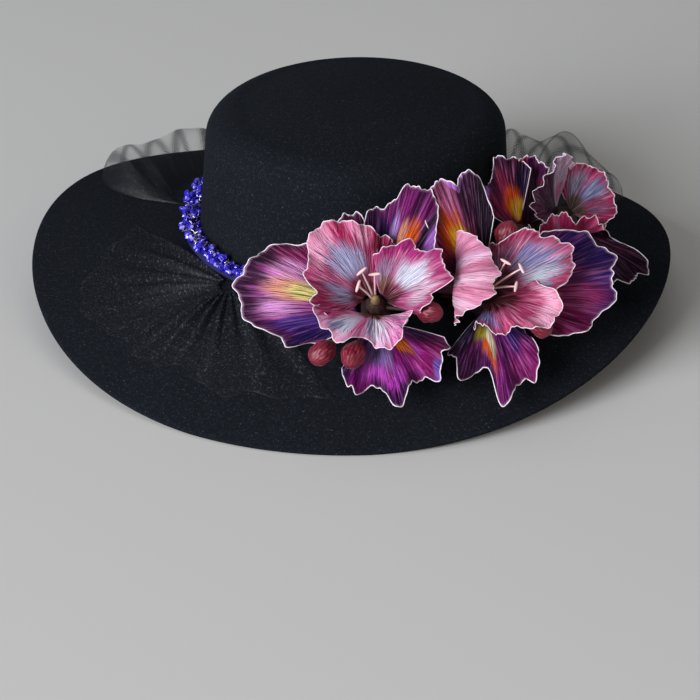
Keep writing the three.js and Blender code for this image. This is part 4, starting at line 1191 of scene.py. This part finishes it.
# Nylon tulle, knitted in small six-sided holes: thin glossy threads in three directions, which only
# show where they are many, with a painted sparkle on them. The holes are drawn 1.6 mm wide, so
# that the render can hold them.
def nylonTulle(name, look):
    material, tree, shader = newMaterial(name)
    weft, warp, bunched = (
        addNode(tree, "Attribute", {}, "Fac", attribute_name=key) for key in ("weft", "warp", "bunched")
    )
    lines = 0.0
    for angle in (0, 60, 120):
        c, s = math.cos(math.radians(angle)), math.sin(math.radians(angle))
        skewed = addNode(tree, "Math", {0: warp, 1: s}, operation="MULTIPLY")
        run = addNode(tree, "Math", {0: weft, 1: c, 2: skewed}, operation="MULTIPLY_ADD")
        wave = addNode(tree, "Math", {0: run, 1: tulle["hole"] / 2}, operation="PINGPONG")
        edge = {0: wave, 1: tulle["threadFrom"], 2: tulle["threadTo"], 3: 1.0, 4: 0.0}
        line = addNode(tree, "MapRange", edge)
        lines = addNode(tree, "Math", {0: line, 1: lines}, operation="MAXIMUM")
    place = addNode(tree, "TexCoord", {}, "Object")
    # Specks where a fine noise peaks are painted sparkle, light that the glossy threads would catch
    sparkle = addNode(tree, "TexNoise", {"Vector": place, "Scale": 700.0})
    shine = addNode(tree, "MapRange", {0: sparkle, 1: 0.56, 2: 0.72})
    tone = addNode(tree, "Mix", {0: shine, 6: look["dark"], 7: look["light"]}, 2, data_type="RGBA")
    dense = addNode(tree, "MapRange", {0: bunched, 1: 0.0, 2: 1.0, 3: look["least"], 4: look["most"]})
    cover = addNode(tree, "Mix", {0: look["haze"], 2: lines, 3: 1.0})
    cover = addNode(tree, "Math", {0: cover, 1: dense}, operation="MULTIPLY")
    feed(tree, shader, {"Base Color": tone, "Roughness": 0.5, "Specular IOR Level": 0.4, "Alpha": cover})
    return material


def makeDrape():
    turns, reaches = np.array(drapeReach, float).T

    # Uneven creases run out from where the net is gathered
    def creased(u, v, power):
        return np.abs(np.sin(19 * v + 1.5 * np.sin(5 * v) + 0.6 * u)) ** power

    def at(u, v):
        angle = mix(drape["from"], drape["to"], (v + 1) / 2)
        ragged = 1 + 0.03 * np.sin(14 * v) + 0.02 * np.sin(31 * v + 1)
        reach = mix(drape["inner"], np.interp(angle, turns, reaches) * ragged, u)
        x = drape["x"] + reach * np.cos(np.radians(angle))
        y = drape["y"] + reach * np.sin(np.radians(angle))
        place, out = brimPlace(x, y)
        wave = 0.5 + 0.5 * np.cos(drape["folds"] * turn * v)
        fold = hump(np.clip(u, 0, 1) * 1.2) ** 0.7 * (drape["height"] * wave + 0.9 * creased(u, v, 3))
        return vec(x, y, brimHeight(place, out) + drape["lift"] + fold)

    u, v = np.linspace(0, 1, 56), np.linspace(-1, 1, 220)
    uu, vv = np.meshgrid(u, v, indexing="ij")
    angle = mix(drape["from"], drape["to"], (vv + 1) / 2)
    reach = mix(drape["inner"], np.interp(angle, turns, reaches), uu)
    # The net is bunched where it is gathered, and along the creases
    bunched = np.clip(0.15 + 0.9 * (1 - uu) ** 2 + 0.7 * creased(uu, vv, 8) * (1 - 0.5 * uu), 0, 1)
    piece = Piece()
    net = reach * np.radians(angle)
    addSheet(piece, at, u, v, tulle["thickness"], weft=net, warp=reach, bunched=bunched)
    material = nylonTulle("black nylon tulle", drapeLook)
    made = piece.make("tulle_drape", [material], ["veil_drape"])


# The two loops of the bow, as in the solids
loopColumns = "name from to peakAngle peak inner outer peakAt".split()
loopRows = [
    ("bow_left", 99, 178, 165, 19, 30, 80, 0.62),
    ("bow_right", 81, 18, 38, 31, 24, 86, 0.36),
]
loopEnd = {"inner": 14, "outer": 22}
loopFlats = ((0.13, 0.1), (0.14, 0.12))  # each loop's net laid flat, in metres


# How far each point lies along its row of the grid, or along its column
def lengthsAlong(points, way):
    steps = np.diff(points, axis=way, prepend=points.take([0], axis=way))
    return np.cumsum(np.linalg.norm(steps, axis=-1), axis=way)


def makeLoop(loop):
    def waves(u, v):
        return np.cos(9 * v + 7 * u), np.abs(np.sin(17 * v + 5 * u))

    def at(u, v):
        angle = mix(loop["from"], loop["to"], (v + 1) / 2)
        past = (angle - loop["peakAngle"]) / (loop["to"] - loop["from"]) > 0
        beyond = np.where(past, loop["to"], loop["from"])
        fullness = hump(0.5 + 0.5 * ((angle - loop["peakAngle"]) / (beyond - loop["peakAngle"])))
        narrow = fullness**0.5
        inner = mix(loopEnd["inner"], loop["inner"], narrow)
        outer = mix(loopEnd["outer"], loop["outer"], narrow)
        out = mix(inner, outer, u)
        arch = hump(np.clip(u, 0, 1) ** (math.log(0.5) / math.log(loop["peakAt"]))) ** 0.55
        height = loop["peak"] * fullness**1.2 * arch
        wide, sharp = waves(u, v)
        return brimPoint(np.radians(angle), out, 1 + height * (1 + 0.16 * wide + 0.05 * sharp))

    u, v = np.linspace(0, 1, 56), np.linspace(-1, 1, 96)
    uu, vv = np.meshgrid(u, v, indexing="ij")
    middle = at(uu, vv)
    weft, warp = lengthsAlong(middle, 1), lengthsAlong(middle, 0)
    # The net is bunched along its folds, and at both ends of the loop
    wide, sharp = waves(uu, vv)
    bunched = np.clip(sharp**12 + 0.25 * np.abs(wide) ** 6 + 0.8 * np.abs(vv) ** 6, 0, 1)
    piece = Piece()
    addSheet(piece, at, u, v, tulle["thickness"], weft=weft, warp=warp, bunched=bunched)
    made = piece.make("tulle_" + loop["name"], [bowTulle], [loop["name"]])


bowTulle = nylonTulle("black nylon tulle of the bow", bowLook)
makeDrape()
for row, flat in zip(loopRows, loopFlats):
    makeLoop(dict(zip(loopColumns, row)))

# The knot is many layers of the same nylon net, knotted tight, so nothing shows through it
knotNet = mottled(
    "knotted nylon tulle", ("121316", "3c3e44"), 500.0, 3.0, (0.0006, 1.0), Roughness=0.6
)
knot = {
    "angle": 90, "out": 20.5, "lift": 6.5, "sides": 48, "ribs": 12, "rib": 0.06, "steps": 30,
    "profile": [(-12, 4.5), (-6.5, 8), (0, 6.8), (6.5, 8), (12, 4.5)],
}


def makeKnot():
    centre = brimPoint(math.radians(knot["angle"]), knot["out"], knot["lift"])
    profile = eased(knot["profile"], knot["steps"])
    piece = Piece()
    along = np.array([1.0, 0, 0])
    addLoft(piece, turnedRings(centre, along, profile, knot["sides"], knot["ribs"], knot["rib"]))
    piece.make("tulle_knot", [knotNet], ["bow_knot"])


makeKnot()
print("tulle")
